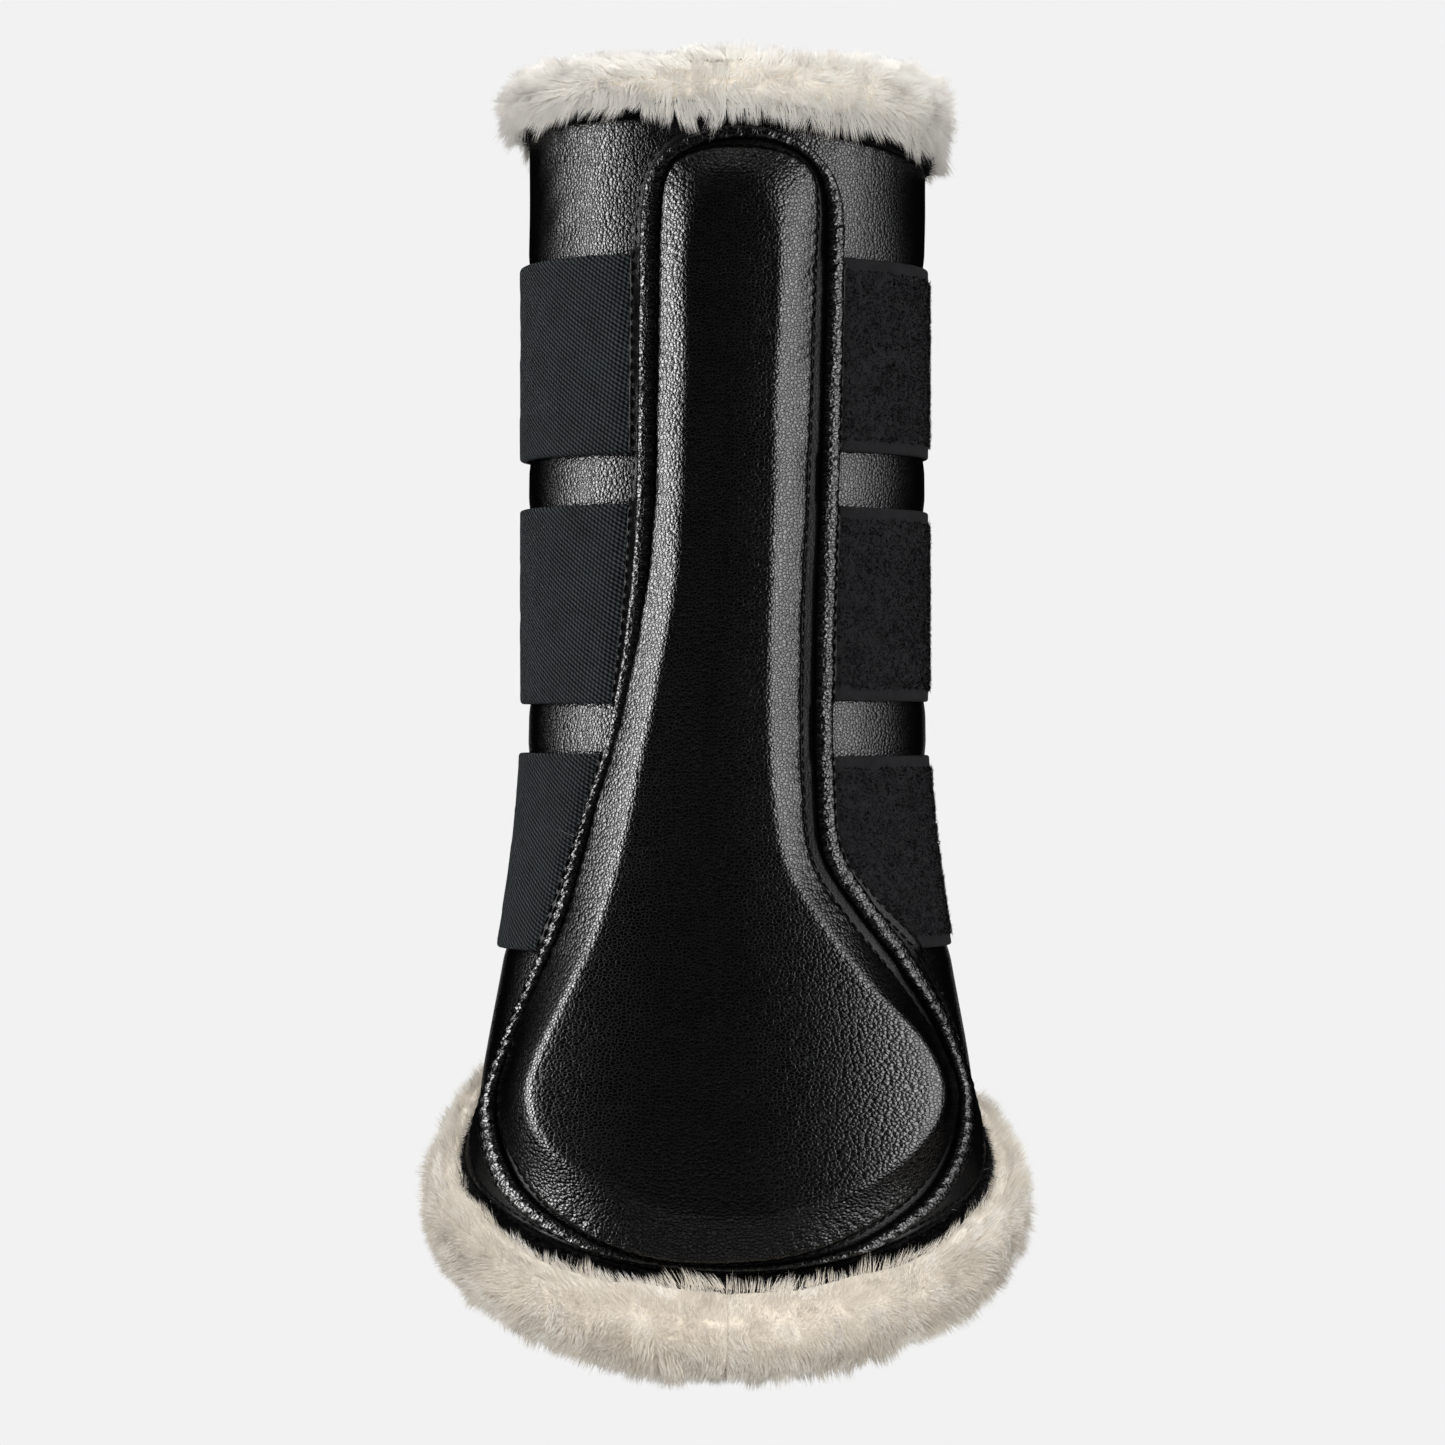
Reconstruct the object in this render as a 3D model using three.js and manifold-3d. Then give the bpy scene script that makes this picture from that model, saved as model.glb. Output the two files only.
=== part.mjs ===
// A horse's tendon boot: a leather-covered tube with a moulded strike pad, a sheepskin
// lining that rolls out at both rims, and three elastic straps that close it at the back.
//
// Millimetres, +Z up the leg, origin on the leg's axis at mid height. The strike pad
// faces -Y. Angles are in degrees, counter-clockwise from +X seen from above, so the pad
// is at 270, the left side at 180, the right side at 0 and the closure at the back.

import * as THREE from "three";
import { mergeVertices } from "three/addons/utils/BufferGeometryUtils.js";
import Module from "manifold-3d";

const { clamp, degToRad, lerp, smoothstep } = THREE.MathUtils;
const wasm = await Module();
wasm.setup();

// ---- Driving dimensions ----

const WEBBING = 40; // width of the elastic straps
const STRAP_PITCH = 50; // from one strap to the next
const MIDDLE_STRAP = 21.8; // height of the middle strap's centre line

const WAIST_RADIUS = 40.3; // outside of the leather shell above the flare
const FLARE = 16; // how much wider the shell gets towards the fetlock
const FLARE_LENGTH = 130; // height below the origin over which it widens
const FRONT_FLATTENING = 0.3; // share of the flare that the front and back lack

const TOP_EDGE = 114.8; // mean height of the leather's top edge
const TOP_FALL_RIGHT = 3.3; // how far it falls to the right, and rises to the left
const TOP_RISE_FRONT = 3.6; // how far it rises to the front, and falls to the back
const BOTTOM_EDGE = -91; // mean height of the black bottom edge
const BOTTOM_DROP_FRONT = 23.5; // how far it drops to the front, and rises to the back
const CREST = 131.5; // level top of the sheepskin roll
const BOTTOM_ROLL = 17.5; // height of the lower sheepskin roll

const GAP = 0.3; // between neighbouring pieces
const LEATHER = 1.4;
const FOAM = 3.2;
const LINING = 6;
const BINDING_HEIGHT = 2.9; // pile binding between leather and sheepskin
const BINDING_PROUD = 0.5; // how far bindings stand out of the leather

const FRONT = 270; // centre line of the strike pad
const CLOSURE = 108; // where the two wings meet
const HINGE_RADIUS = 46; // distance of each wing's fold line from the axis
const WING_SWING = 60; // how far each wing opens
const STEP = 12; // degrees between the facets that all layers share
const SLIVER = 1; // narrowest facet, in degrees

const WING_GAP = 0.35; // degrees from a fold line to the pieces beside it
const EDGE_BINDING = 1.6; // degrees taken by the binding on a wing's closure edge
const ELASTIC = 1.6; // thickness of the straps
const ELASTIC_DEPTH = 0.8; // from the leather to the inside of a strap
const LOOP_DEPTH = [0.8, 1.7]; // hook-and-loop pile, out from the leather
const HOOK_DEPTH = [2.8, 3.6]; // hook tape under a strap's end
const TAIL_DEPTH = HOOK_DEPTH[1] + GAP; // inside of a strap where it lies over the pile
const TAIL_TIP = 42; // angle where the straps end
const TAB_WIDTH = 6; // degrees taken by the leather tab on a strap's end
const HOOK_FAR_EDGE = 84; // angle where the hook tape starts

// ---- Surfaces ----

function shellRadius(angle, z) {
  const flare = FLARE * smoothstep(-z, 0, FLARE_LENGTH);
  return WAIST_RADIUS + flare * (1 - FRONT_FLATTENING * Math.sin(degToRad(angle)) ** 2);
}

function topEdge(angle) {
  const turn = degToRad(angle);
  return TOP_EDGE - TOP_FALL_RIGHT * Math.cos(turn) - TOP_RISE_FRONT * Math.sin(turn);
}

function bottomEdge(angle) {
  return BOTTOM_EDGE + BOTTOM_DROP_FRONT * Math.sin(degToRad(angle));
}

function onBoot(angle, z, depth) {
  const radius = shellRadius(angle, z) + depth;
  const turn = degToRad(angle);
  return new THREE.Vector3(radius * Math.cos(turn), radius * Math.sin(turn), z);
}

// ---- Booleans ----

function toSolid(geometry) {
  const bare = geometry.clone();
  bare.deleteAttribute("normal");
  bare.deleteAttribute("uv");
  const merged = mergeVertices(bare, 1e-4);
  return new wasm.Manifold(
    new wasm.Mesh({
      numProp: 3,
      vertProperties: new Float32Array(merged.attributes.position.array),
      triVerts: new Uint32Array(merged.index.array),
    }),
  );
}

function toGeometry(solid) {
  const mesh = solid.getMesh();
  const geometry = new THREE.BufferGeometry();
  geometry.setAttribute("position", new THREE.BufferAttribute(mesh.vertProperties, 3));
  geometry.setIndex(new THREE.BufferAttribute(mesh.triVerts, 1));
  return geometry;
}

// ---- Building blocks ----

// The angles of the shared facet lines between two edges.
function facetLines(from, to) {
  const lines = [];
  for (let line = Math.ceil((from + 1.5) / STEP) * STEP; line < to - 1.5; line += STEP) {
    lines.push(line);
  }
  return lines;
}

// A curved slab on the boot. place(u, v) gives the angle and height of each point of
// its face, and depths(angle, z, u, v) its inner and outer distance from the leather.
function slab(place, depths, columns, rows) {
  const geometry = new THREE.BoxGeometry(1, 1, 1, columns, rows, 1);
  const position = geometry.attributes.position;
  for (let i = 0; i < position.count; i++) {
    const u = position.getX(i) + 0.5;
    const v = position.getY(i) + 0.5;
    const side = position.getZ(i) > 0 ? 1 : 0;
    const [angle, z] = place(u, v);
    const depth = depths(angle, z, u, v)[side];
    position.setXYZ(i, ...onBoot(angle, z, depth).toArray());
  }
  return geometry;
}

// A slab between two side edges, each a function of how far up it is from 0 to 1, and
// between two heights, each a function of the angle.
function wrap({ from, to, low, high, depths, rows }) {
  const levels = [0, 0.25, 0.5, 0.75, 1];
  const lines = facetLines(Math.min(...levels.map(from)), Math.max(...levels.map(to)));
  const columns = lines.length + 1;
  // Where a slanting edge cuts a facet line off, the line runs just inside the edge.
  function place(u, v) {
    const column = Math.round(u * columns);
    const line = lines[column - 1] ?? from(v);
    const first = from(v) + SLIVER * column;
    const last = to(v) - SLIVER * (columns - column);
    const angle = column === columns ? to(v) : clamp(line, first, last);
    return [angle, lerp(low(angle), high(angle), v)];
  }
  return slab(place, depths, columns, rows);
}

// A roll of sheepskin along a rim, with an oval section between two heights.
function roll({ from, to, rim, low, high, inner, outer }) {
  const sides = 8;
  const lines = [from, ...facetLines(from, to), to];
  const geometry = new THREE.CylinderGeometry(1, 1, 1, sides, lines.length - 1);
  geometry.rotateY(Math.PI / sides);
  const position = geometry.attributes.position;
  for (let i = 0; i < position.count; i++) {
    const angle = lines[Math.round((position.getY(i) + 0.5) * (lines.length - 1))];
    const across = position.getX(i) / 2 + 0.5;
    const up = position.getZ(i) / 2 + 0.5;
    const radius = shellRadius(angle, rim(angle)) + lerp(inner, outer, across);
    const turn = degToRad(angle);
    const z = lerp(low(angle), high(angle), up);
    position.setXYZ(i, radius * Math.cos(turn), radius * Math.sin(turn), z);
  }
  return geometry;
}

// A bead that follows a closed curve, lying flat on the boot.
function bead(curve, halfWidth, halfHeight, segments) {
  const sides = 5;
  const geometry = new THREE.TorusGeometry(2, 1, sides, segments);
  const position = geometry.attributes.position;
  for (let i = 0; i < position.count; i++) {
    const flat = new THREE.Vector2(position.getX(i), position.getY(i));
    const along = (flat.angle() / (2 * Math.PI) + 1) % 1;
    const centre = curve.getPointAt(along);
    const outward = new THREE.Vector3(centre.x, centre.y, 0).normalize();
    const across = new THREE.Vector3().crossVectors(curve.getTangentAt(along), outward);
    across.normalize();
    const point = centre
      .addScaledVector(across, (flat.length() - 2) * halfWidth)
      .addScaledVector(outward, position.getZ(i) * halfHeight);
    position.setXYZ(i, ...point.toArray());
  }
  return geometry;
}

// Each wing turns about a vertical line HINGE_RADIUS from the axis. What lies outside
// that line has a notch around the fold, half of it on each side.
const foldNotch = (() => {
  const reach = 40;
  const half = reach * Math.tan(degToRad(WING_SWING / 2 + 1.5));
  const apex = HINGE_RADIUS - 0.5;
  const triangle = new THREE.Shape([
    new THREE.Vector2(apex, 0),
    new THREE.Vector2(apex + reach, -half),
    new THREE.Vector2(apex + reach, half),
  ]);
  const height = 4 * Math.abs(BOTTOM_EDGE);
  const prism = new THREE.ExtrudeGeometry(triangle, { depth: height, bevelEnabled: false });
  prism.translate(0, 0, -height / 2);
  const right = toSolid(prism);
  return right.add(right.rotate([0, 0, 180]));
})();

function notched(geometry) {
  return toGeometry(toSolid(geometry).subtract(foldNotch));
}

// ---- Materials ----

function material(color, roughness) {
  return () => new THREE.MeshStandardMaterial({ color, roughness, metalness: 0 });
}

const leather = material(0x151517, 0.42);
const foam = material(0x3b3c3e, 0.9);
const sheepskin = material(0xd6cdc0, 0.95);
const pile = material(0x17171a, 0.95);
const elastic = material(0x25292b, 0.75);
const hookTape = material(0x202023, 0.6);

const boot = new THREE.Group();

function add(name, geometry, finish) {
  const mesh = new THREE.Mesh(geometry, finish());
  mesh.name = name;
  boot.add(mesh);
}

// ---- The strike pad's outline ----

// Points are unrolled: millimetres round the waist from the pad's centre line, and
// height. Both sides start at the bottom centre and end at the top centre.
const MM_PER_DEGREE = degToRad(1) * WAIST_RADIUS;
const PAD_LIFT = BINDING_HEIGHT + 1; // above the black bottom edge
const PAD_COLUMNS = 12;
const PAD_ROWS = 16;

function alongRim(x) {
  return [x, bottomEdge(FRONT + x / MM_PER_DEGREE) + PAD_LIFT];
}

function outline(points) {
  return new THREE.SplineCurve(points.map(([x, z]) => new THREE.Vector2(x, z)));
}

const padLeft = outline([
  ...[-3, -20, -38, -51].map(alongRim),
  [-58, -83],
  [-54, -70],
  [-47, -58],
  [-39, -42],
  [-30, -17],
  [-23, 12],
  [-20, 42],
  [-19.3, 96],
  [-16, 109],
  [-8, 117],
  [0, 118.2],
]);

const padRight = outline([
  ...[3, 20, 38, 51].map(alongRim),
  [59, -83],
  [58, -69],
  [50, -56],
  [33, -39.5],
  [24, -29],
  [22, -12],
  [23.2, 42],
  [24, 95],
  [20, 109],
  [13, 115],
  [6, 116.8],
]);

// A point of one side, moved inwards. Inwards is +1 towards the right, -1 to the left.
function inset(side, along, distance, inwards) {
  const point = side.getPointAt(along);
  const tangent = side.getTangentAt(along);
  point.x += inwards * distance * tangent.y;
  point.y -= inwards * distance * tangent.x;
  return point;
}

// The angle of one side of the pad at a height.
function padSideAngle(side, z) {
  let [low, high] = [0, 1];
  for (let i = 0; i < 20; i++) {
    const middle = (low + high) / 2;
    if (side.getPointAt(middle).y < z) {
      low = middle;
    } else {
      high = middle;
    }
  }
  return FRONT + side.getPointAt(low).x / MM_PER_DEGREE;
}

// A slab of the pad's outline, smaller by a margin all round, whose edge slopes from
// one outer depth up to another over the bevel's width.
function padSlab({ margin, inner, edge, top, bevel }) {
  function place(u, v) {
    const left = inset(padLeft, v, margin, 1);
    const right = inset(padRight, v, margin, -1);
    const point = left.lerp(right, u);
    return [FRONT + point.x / MM_PER_DEGREE, point.y];
  }
  function depths(angle, z, u, v) {
    const width = (place(1, v)[0] - place(0, v)[0]) * MM_PER_DEGREE;
    const fromBottom = z - bottomEdge(angle) - PAD_LIFT - margin;
    const fromTop = topEdge(FRONT) - margin - z;
    const fromEdge = Math.min(u * width, (1 - u) * width, fromBottom, fromTop);
    return [inner, lerp(edge, top, smoothstep(fromEdge, 0, bevel))];
  }
  return slab(place, depths, PAD_COLUMNS, PAD_ROWS);
}

function buildPad() {
  const flange = [1.8, 2.6];
  const seat = flange[1] + 1.5; // the wide facets of two outlines cross, so they keep clear
  const beadMargin = 3;
  const coverMargin = 7;
  const wall = 1.8;
  add(
    "pad_flange",
    padSlab({ margin: 0, inner: flange[0], edge: flange[1], top: flange[1], bevel: 1 }),
    leather,
  );
  const rim = [];
  const stops = 12;
  for (let i = 0; i < stops; i++) {
    rim.push(inset(padRight, i / stops, beadMargin, -1));
  }
  for (let i = stops; i > 0; i--) {
    rim.push(inset(padLeft, i / stops, beadMargin, 1));
  }
  const beadHeight = 0.8;
  const beadDepth = seat + beadHeight;
  const path = rim.map(({ x, y }) => onBoot(FRONT + x / MM_PER_DEGREE, y, beadDepth));
  const beadPath = new THREE.CatmullRomCurve3(path, true);
  add("pad_border", bead(beadPath, 2, beadHeight, 48), leather);
  const cover = padSlab({ margin: coverMargin, inner: seat, edge: 5.8, top: 8.2, bevel: 8 });
  const pocket = padSlab({
    margin: coverMargin + wall,
    inner: seat - 2,
    edge: 5.2,
    top: 7,
    bevel: 8,
  });
  add("pad_cover", toGeometry(toSolid(cover).subtract(toSolid(pocket))), leather);
  const core = padSlab({
    margin: coverMargin + wall + 1.2,
    inner: seat,
    edge: 4.6,
    top: 6,
    bevel: 8,
  });
  add("pad_core", core, foam);
}

// ---- Body sections: the fixed front and the two wings ----

const SHELL_ROWS = 9;
const LAYERS = [
  ["shell", -LEATHER, 0, leather],
  ["core", -LEATHER - GAP - FOAM, -LEATHER - GAP, foam],
  ["lining", -LEATHER - FOAM - 2 * GAP - LINING, -LEATHER - FOAM - 2 * GAP, sheepskin],
];
const WALL = LEATHER + FOAM + LINING + 2 * GAP;

function layerTop(angle) {
  return topEdge(angle) - GAP / 2;
}

function layerBottom(angle) {
  return bottomEdge(angle) + BINDING_HEIGHT + GAP;
}

function buildSection(name, from, to) {
  for (const [layer, inner, outer, finish] of LAYERS) {
    const panel = wrap({
      from: () => from,
      to: () => to,
      low: layerBottom,
      high: layerTop,
      depths: () => [inner, outer],
      rows: SHELL_ROWS,
    });
    add(`${name}_${layer}`, notched(panel), finish);
  }
}

function buildRims(name, from, to) {
  const top = wrap({
    from: () => from,
    to: () => to,
    low: (angle) => topEdge(angle) + GAP / 2,
    high: (angle) => topEdge(angle) + BINDING_HEIGHT,
    depths: () => [-LEATHER - FOAM, BINDING_PROUD],
    rows: 1,
  });
  add(`${name}_top_binding`, notched(top), pile);
  const bottom = wrap({
    from: () => from,
    to: () => to,
    low: bottomEdge,
    high: (angle) => bottomEdge(angle) + BINDING_HEIGHT,
    depths: () => [-LEATHER - FOAM, BINDING_PROUD + 0.5],
    rows: 1,
  });
  add(`${name}_bottom_binding`, notched(bottom), pile);
  const topRoll = roll({
    from,
    to,
    rim: topEdge,
    low: (angle) => topEdge(angle) + BINDING_HEIGHT + GAP,
    high: () => CREST,
    inner: -WALL - 2,
    outer: 7.5,
  });
  add(`${name}_top_collar`, notched(topRoll), sheepskin);
  const bottomRoll = roll({
    from,
    to,
    rim: bottomEdge,
    low: (angle) => bottomEdge(angle) - BOTTOM_ROLL,
    high: (angle) => bottomEdge(angle) - GAP,
    inner: -WALL - 1,
    outer: 10,
  });
  add(`${name}_bottom_collar`, notched(bottomRoll), sheepskin);
}

function buildEdgeBinding(name, from, to) {
  const strip = wrap({
    from: () => from,
    to: () => to,
    low: layerBottom,
    high: layerTop,
    depths: () => [-WALL - BINDING_PROUD, BINDING_PROUD],
    rows: SHELL_ROWS,
  });
  add(`${name}_edge_binding`, strip, leather);
}

// ---- Straps on the left, pile patches on the right ----

const STRAPS = [
  ["top", MIDDLE_STRAP + STRAP_PITCH],
  ["middle", MIDDLE_STRAP],
  ["bottom", MIDDLE_STRAP - STRAP_PITCH],
];
const FABRIC_ROWS = 3;
const PAD_CLEARANCE = 2; // degrees between the pad's edge and what starts there

function band({ centre, width, from, to, depths }) {
  return wrap({
    from,
    to,
    low: () => centre - width / 2,
    high: () => centre + width / 2,
    depths,
    rows: FABRIC_ROWS,
  });
}

function buildStrap(name, centre) {
  const flat = () => [ELASTIC_DEPTH, ELASTIC_DEPTH + ELASTIC];
  const heightAt = (v) => centre + (v - 0.5) * WEBBING;
  const front = band({
    centre,
    width: WEBBING,
    from: () => 180 + WING_GAP,
    to: (v) => padSideAngle(padLeft, heightAt(v)) - PAD_CLEARANCE,
    depths: flat,
  });
  add(`strap_${name}_front`, notched(front), elastic);
  const side = band({
    centre,
    width: WEBBING,
    from: () => CLOSURE + 1.4,
    to: () => 180 - WING_GAP,
    depths: flat,
  });
  add(`strap_${name}_side`, notched(side), elastic);
  // The tail steps out over the pile just past the closure.
  function tailDepths(angle) {
    const lift = lerp(TAIL_DEPTH, ELASTIC_DEPTH, smoothstep(angle, CLOSURE - 16, CLOSURE));
    return [lift, lift + ELASTIC];
  }
  const tail = band({
    centre,
    width: WEBBING,
    from: () => TAIL_TIP + TAB_WIDTH + 0.4,
    to: () => CLOSURE + 0.6,
    depths: tailDepths,
  });
  add(`strap_${name}_tail`, tail, elastic);
  const tab = band({
    centre,
    width: WEBBING + 1,
    from: () => TAIL_TIP,
    to: () => TAIL_TIP + TAB_WIDTH,
    depths: () => [TAIL_DEPTH, TAIL_DEPTH + ELASTIC + 0.4],
  });
  add(`strap_${name}_tab`, tab, leather);
  const hook = band({
    centre,
    width: WEBBING - 4,
    from: () => TAIL_TIP + 1,
    to: () => HOOK_FAR_EDGE,
    depths: () => HOOK_DEPTH,
  });
  add(`strap_${name}_hook`, hook, hookTape);
}

function buildPilePatch(name, centre) {
  const width = WEBBING - 1;
  const heightAt = (v) => centre + (v - 0.5) * width;
  const front = band({
    centre,
    width,
    from: (v) => padSideAngle(padRight, heightAt(v)) + PAD_CLEARANCE,
    to: () => 360 - WING_GAP,
    depths: () => LOOP_DEPTH,
  });
  add(`pile_${name}_front`, notched(front), pile);
  const side = band({
    centre,
    width,
    from: () => WING_GAP,
    to: () => CLOSURE - EDGE_BINDING - 5,
    depths: () => LOOP_DEPTH,
  });
  add(`pile_${name}_side`, notched(side), pile);
}

// ---- Assembly ----

const HALF_SEAM = 0.7; // degrees from the closure line to each wing's edge
const LEFT_EDGE = CLOSURE + HALF_SEAM + EDGE_BINDING;
const RIGHT_EDGE = CLOSURE - HALF_SEAM - EDGE_BINDING;

buildPad();
buildSection("front", 180 + WING_GAP, 360 - WING_GAP);
buildRims("front", 180 + WING_GAP, 360 - WING_GAP);
buildSection("left", LEFT_EDGE + 0.4, 180 - WING_GAP);
buildRims("left", CLOSURE + HALF_SEAM, 180 - WING_GAP);
buildEdgeBinding("left", CLOSURE + HALF_SEAM, LEFT_EDGE);
buildSection("right", WING_GAP, RIGHT_EDGE - 0.4);
buildRims("right", WING_GAP, CLOSURE - HALF_SEAM);
buildEdgeBinding("right", RIGHT_EDGE, CLOSURE - HALF_SEAM);
for (const [name, centre] of STRAPS) {
  buildStrap(name, centre);
  buildPilePatch(name, centre);
}

export default boot;
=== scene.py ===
"""Looks of the tendon boot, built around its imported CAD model.

Surfaces are worked out in millimetres and degrees, on the boot unrolled: an angle
counter-clockwise from +X seen from above, a height, and a depth outwards from the leather.
The strike pad is at 270 degrees, facing -Y. Meshes are made in metres.
"""

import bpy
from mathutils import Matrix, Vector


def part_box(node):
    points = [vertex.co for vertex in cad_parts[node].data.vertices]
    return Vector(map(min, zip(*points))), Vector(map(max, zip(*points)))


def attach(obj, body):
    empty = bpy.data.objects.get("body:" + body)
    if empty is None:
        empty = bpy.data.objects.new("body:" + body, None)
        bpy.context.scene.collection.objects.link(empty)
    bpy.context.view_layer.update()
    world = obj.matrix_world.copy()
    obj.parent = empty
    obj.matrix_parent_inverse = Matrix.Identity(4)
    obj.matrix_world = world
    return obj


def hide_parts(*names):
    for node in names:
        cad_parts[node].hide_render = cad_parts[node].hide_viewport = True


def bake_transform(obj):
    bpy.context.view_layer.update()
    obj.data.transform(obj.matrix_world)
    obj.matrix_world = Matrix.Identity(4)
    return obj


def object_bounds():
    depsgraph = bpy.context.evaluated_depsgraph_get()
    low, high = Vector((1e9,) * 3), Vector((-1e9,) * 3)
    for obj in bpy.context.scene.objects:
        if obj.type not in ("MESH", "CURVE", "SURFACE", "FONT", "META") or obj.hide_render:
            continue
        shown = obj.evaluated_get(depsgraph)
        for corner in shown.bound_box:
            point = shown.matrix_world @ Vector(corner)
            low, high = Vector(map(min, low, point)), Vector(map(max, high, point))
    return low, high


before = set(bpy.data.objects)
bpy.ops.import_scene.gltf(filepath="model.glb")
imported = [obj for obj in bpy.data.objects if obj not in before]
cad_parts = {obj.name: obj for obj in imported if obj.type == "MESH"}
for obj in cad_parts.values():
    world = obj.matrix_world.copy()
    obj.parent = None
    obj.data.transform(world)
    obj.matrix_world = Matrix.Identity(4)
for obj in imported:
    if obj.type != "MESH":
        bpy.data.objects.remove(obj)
cad_box = [list(corner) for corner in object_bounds()]

import math

import bpy
import numpy as np
from mathutils import Vector

# ---- Driving dimensions, in millimetres and degrees ----

MM = 0.001

WAIST_RADIUS = 40.3  # outside of the leather above the flare
FLARE = 16  # how much wider the boot gets towards the fetlock
FLARE_LENGTH = 130
FRONT_FLATTENING = 0.3  # share of the flare that the front and back lack
TOP_EDGE = 114.8  # mean height of the leather's top edge
TOP_FALL_RIGHT = 3.3
TOP_RISE_FRONT = 3.6
BOTTOM_EDGE = -91  # mean height of the black bottom edge
BOTTOM_DROP_FRONT = 23.5
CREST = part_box("front_top_collar")[1].z / MM

LEATHER = 1.4
GAP = 0.3
FOAM = 3.2
LINING = 6
BINDING_HEIGHT = 2.9
WALL_HEIGHT = 205  # about, and only for how finely its grids are divided

FRONT = 270
# Angles where each side starts at the left of the closure and ends at its right.
WHOLE = 360
LEATHER_ENDS = 110.7, 105.3 + WHOLE
LINING_ENDS = 109.1, 106.9 + WHOLE
SHEEPSKIN_ENDS = 109.3, 106.7 + WHOLE  # of the rolls and the pile bindings
FRONT_MM_PER_DEGREE = WAIST_RADIUS * math.pi / 180

ELASTIC = 1.6
STRAP_DEPTH = 0.8  # inside of a strap, out from the leather
TAIL_DEPTH = 3.9  # inside of a strap where it lies over the pile
TAIL_TIP = 48.4
TAIL_START = 109.3
TAB_TIP = 42
ROWS = ("top", "middle", "bottom")

FLEECE_PITCH = 3.4  # width of a tuft
# How many fibres one piece has.
ROLL_FIBRES, LINING_FIBRES, END_FIBRES = 17000, 13000, 5000
BINDING_FIBRES, PILE_LOOPS, HOOKS = 9000, 15000, 2500
STITCH_PITCH = 2.5
STITCH_GAP = 0.25  # share of the pitch between two stitches
THREAD_RADIUS = 0.2
FIBRE_ROUNDNESS = 0.3  # how much a fibre's own shape shows in its shading


# ---- The boot's surfaces ----


def smooth(t):
    t = np.clip(t, 0, 1)
    return t * t * (3 - 2 * t)


def shell_radius(angle, z):
    flare = FLARE * smooth(-z / FLARE_LENGTH)
    return WAIST_RADIUS + flare * (1 - FRONT_FLATTENING * np.sin(np.radians(angle)) ** 2)


def top_edge(angle):
    turn = np.radians(angle)
    return TOP_EDGE - TOP_FALL_RIGHT * np.cos(turn) - TOP_RISE_FRONT * np.sin(turn)


def bottom_edge(angle):
    return BOTTOM_EDGE + BOTTOM_DROP_FRONT * np.sin(np.radians(angle))


def on_boot(angle, z, depth):
    """Points in metres."""
    angle, z, depth = np.broadcast_arrays(angle, z, depth)
    radius = shell_radius(angle, z) + depth
    turn = np.radians(angle)
    return np.stack([radius * np.cos(turn), radius * np.sin(turn), z], -1) * MM


def flat_place(angle, z, depth):
    """The same points on the boot unrolled, in metres, for weaves and grain."""
    angle, z, depth = np.broadcast_arrays(angle, z, depth)
    return np.stack([angle * FRONT_MM_PER_DEGREE, z, depth], -1) * MM


def directions(angle):
    """Horizontal unit vectors out of the boot and the way the angle grows."""
    turn = np.radians(angle)
    c, s = np.cos(turn), np.sin(turn)
    return np.stack([c, s, 0 * turn], -1), np.stack([-s, c, 0 * turn], -1)


def noise(x, y, seed):
    """Smooth random values from -1 to 1, about one hill for each unit of x and y."""
    table = np.random.default_rng(seed).uniform(-1, 1, (64, 64))
    x, y = np.broadcast_arrays(np.asarray(x, float), np.asarray(y, float))
    i, j = np.floor(x).astype(int), np.floor(y).astype(int)
    u, v = smooth(x - i), smooth(y - j)
    i0, i1, j0, j1 = i % 64, (i + 1) % 64, j % 64, (j + 1) % 64
    low = table[i0, j0] * (1 - u) + table[i1, j0] * u
    high = table[i0, j1] * (1 - u) + table[i1, j1] * u
    return low * (1 - v) + high * v


def hill(x, centre, width):
    return np.exp(-(((x - centre) / width) ** 2))


# ---- Meshes ----


def build_mesh(name, points, faces, material, flat=None, shades=None):
    """faces is a list of arrays, each with one number of corners a face."""
    mesh = bpy.data.meshes.new(name)
    points = np.asarray(points, np.float32).reshape(-1, 3)
    faces = [np.asarray(f, np.int32) for f in faces if len(f)]
    corners = np.concatenate([f.ravel() for f in faces])
    sizes = np.concatenate([np.full(len(f), f.shape[1]) for f in faces])
    starts = np.concatenate([[0], np.cumsum(sizes)[:-1]])
    mesh.vertices.add(len(points))
    mesh.vertices.foreach_set("co", points.ravel())
    mesh.loops.add(len(corners))
    mesh.loops.foreach_set("vertex_index", corners)
    mesh.polygons.add(len(sizes))
    mesh.polygons.foreach_set("loop_start", starts.astype(np.int32))
    mesh.polygons.foreach_set("use_smooth", np.ones(len(sizes), bool))
    for m in material if isinstance(material, list) else [material]:
        mesh.materials.append(m)
    if shades is not None:
        mesh.polygons.foreach_set("material_index", np.asarray(shades, np.int32))
    if flat is not None:
        attribute = mesh.attributes.new("flat", "FLOAT_VECTOR", "POINT")
        attribute.data.foreach_set("vector", np.asarray(flat, np.float32).ravel())
    mesh.update(calc_edges=True)
    mesh.validate()
    obj = bpy.data.objects.new(name, mesh)
    bpy.context.scene.collection.objects.link(obj)
    return obj


def quads(rows, columns, close_rows=False, close_columns=False):
    i = np.arange(rows if close_rows else rows - 1)[:, None]
    j = np.arange(columns if close_columns else columns - 1)[None, :]
    i, j = np.broadcast_arrays(i, j)
    up, along = (i + 1) % rows, (j + 1) % columns
    ids = [i * columns + j, i * columns + along, up * columns + along, up * columns + j]
    return np.stack(ids, -1).reshape(-1, 4)


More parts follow.
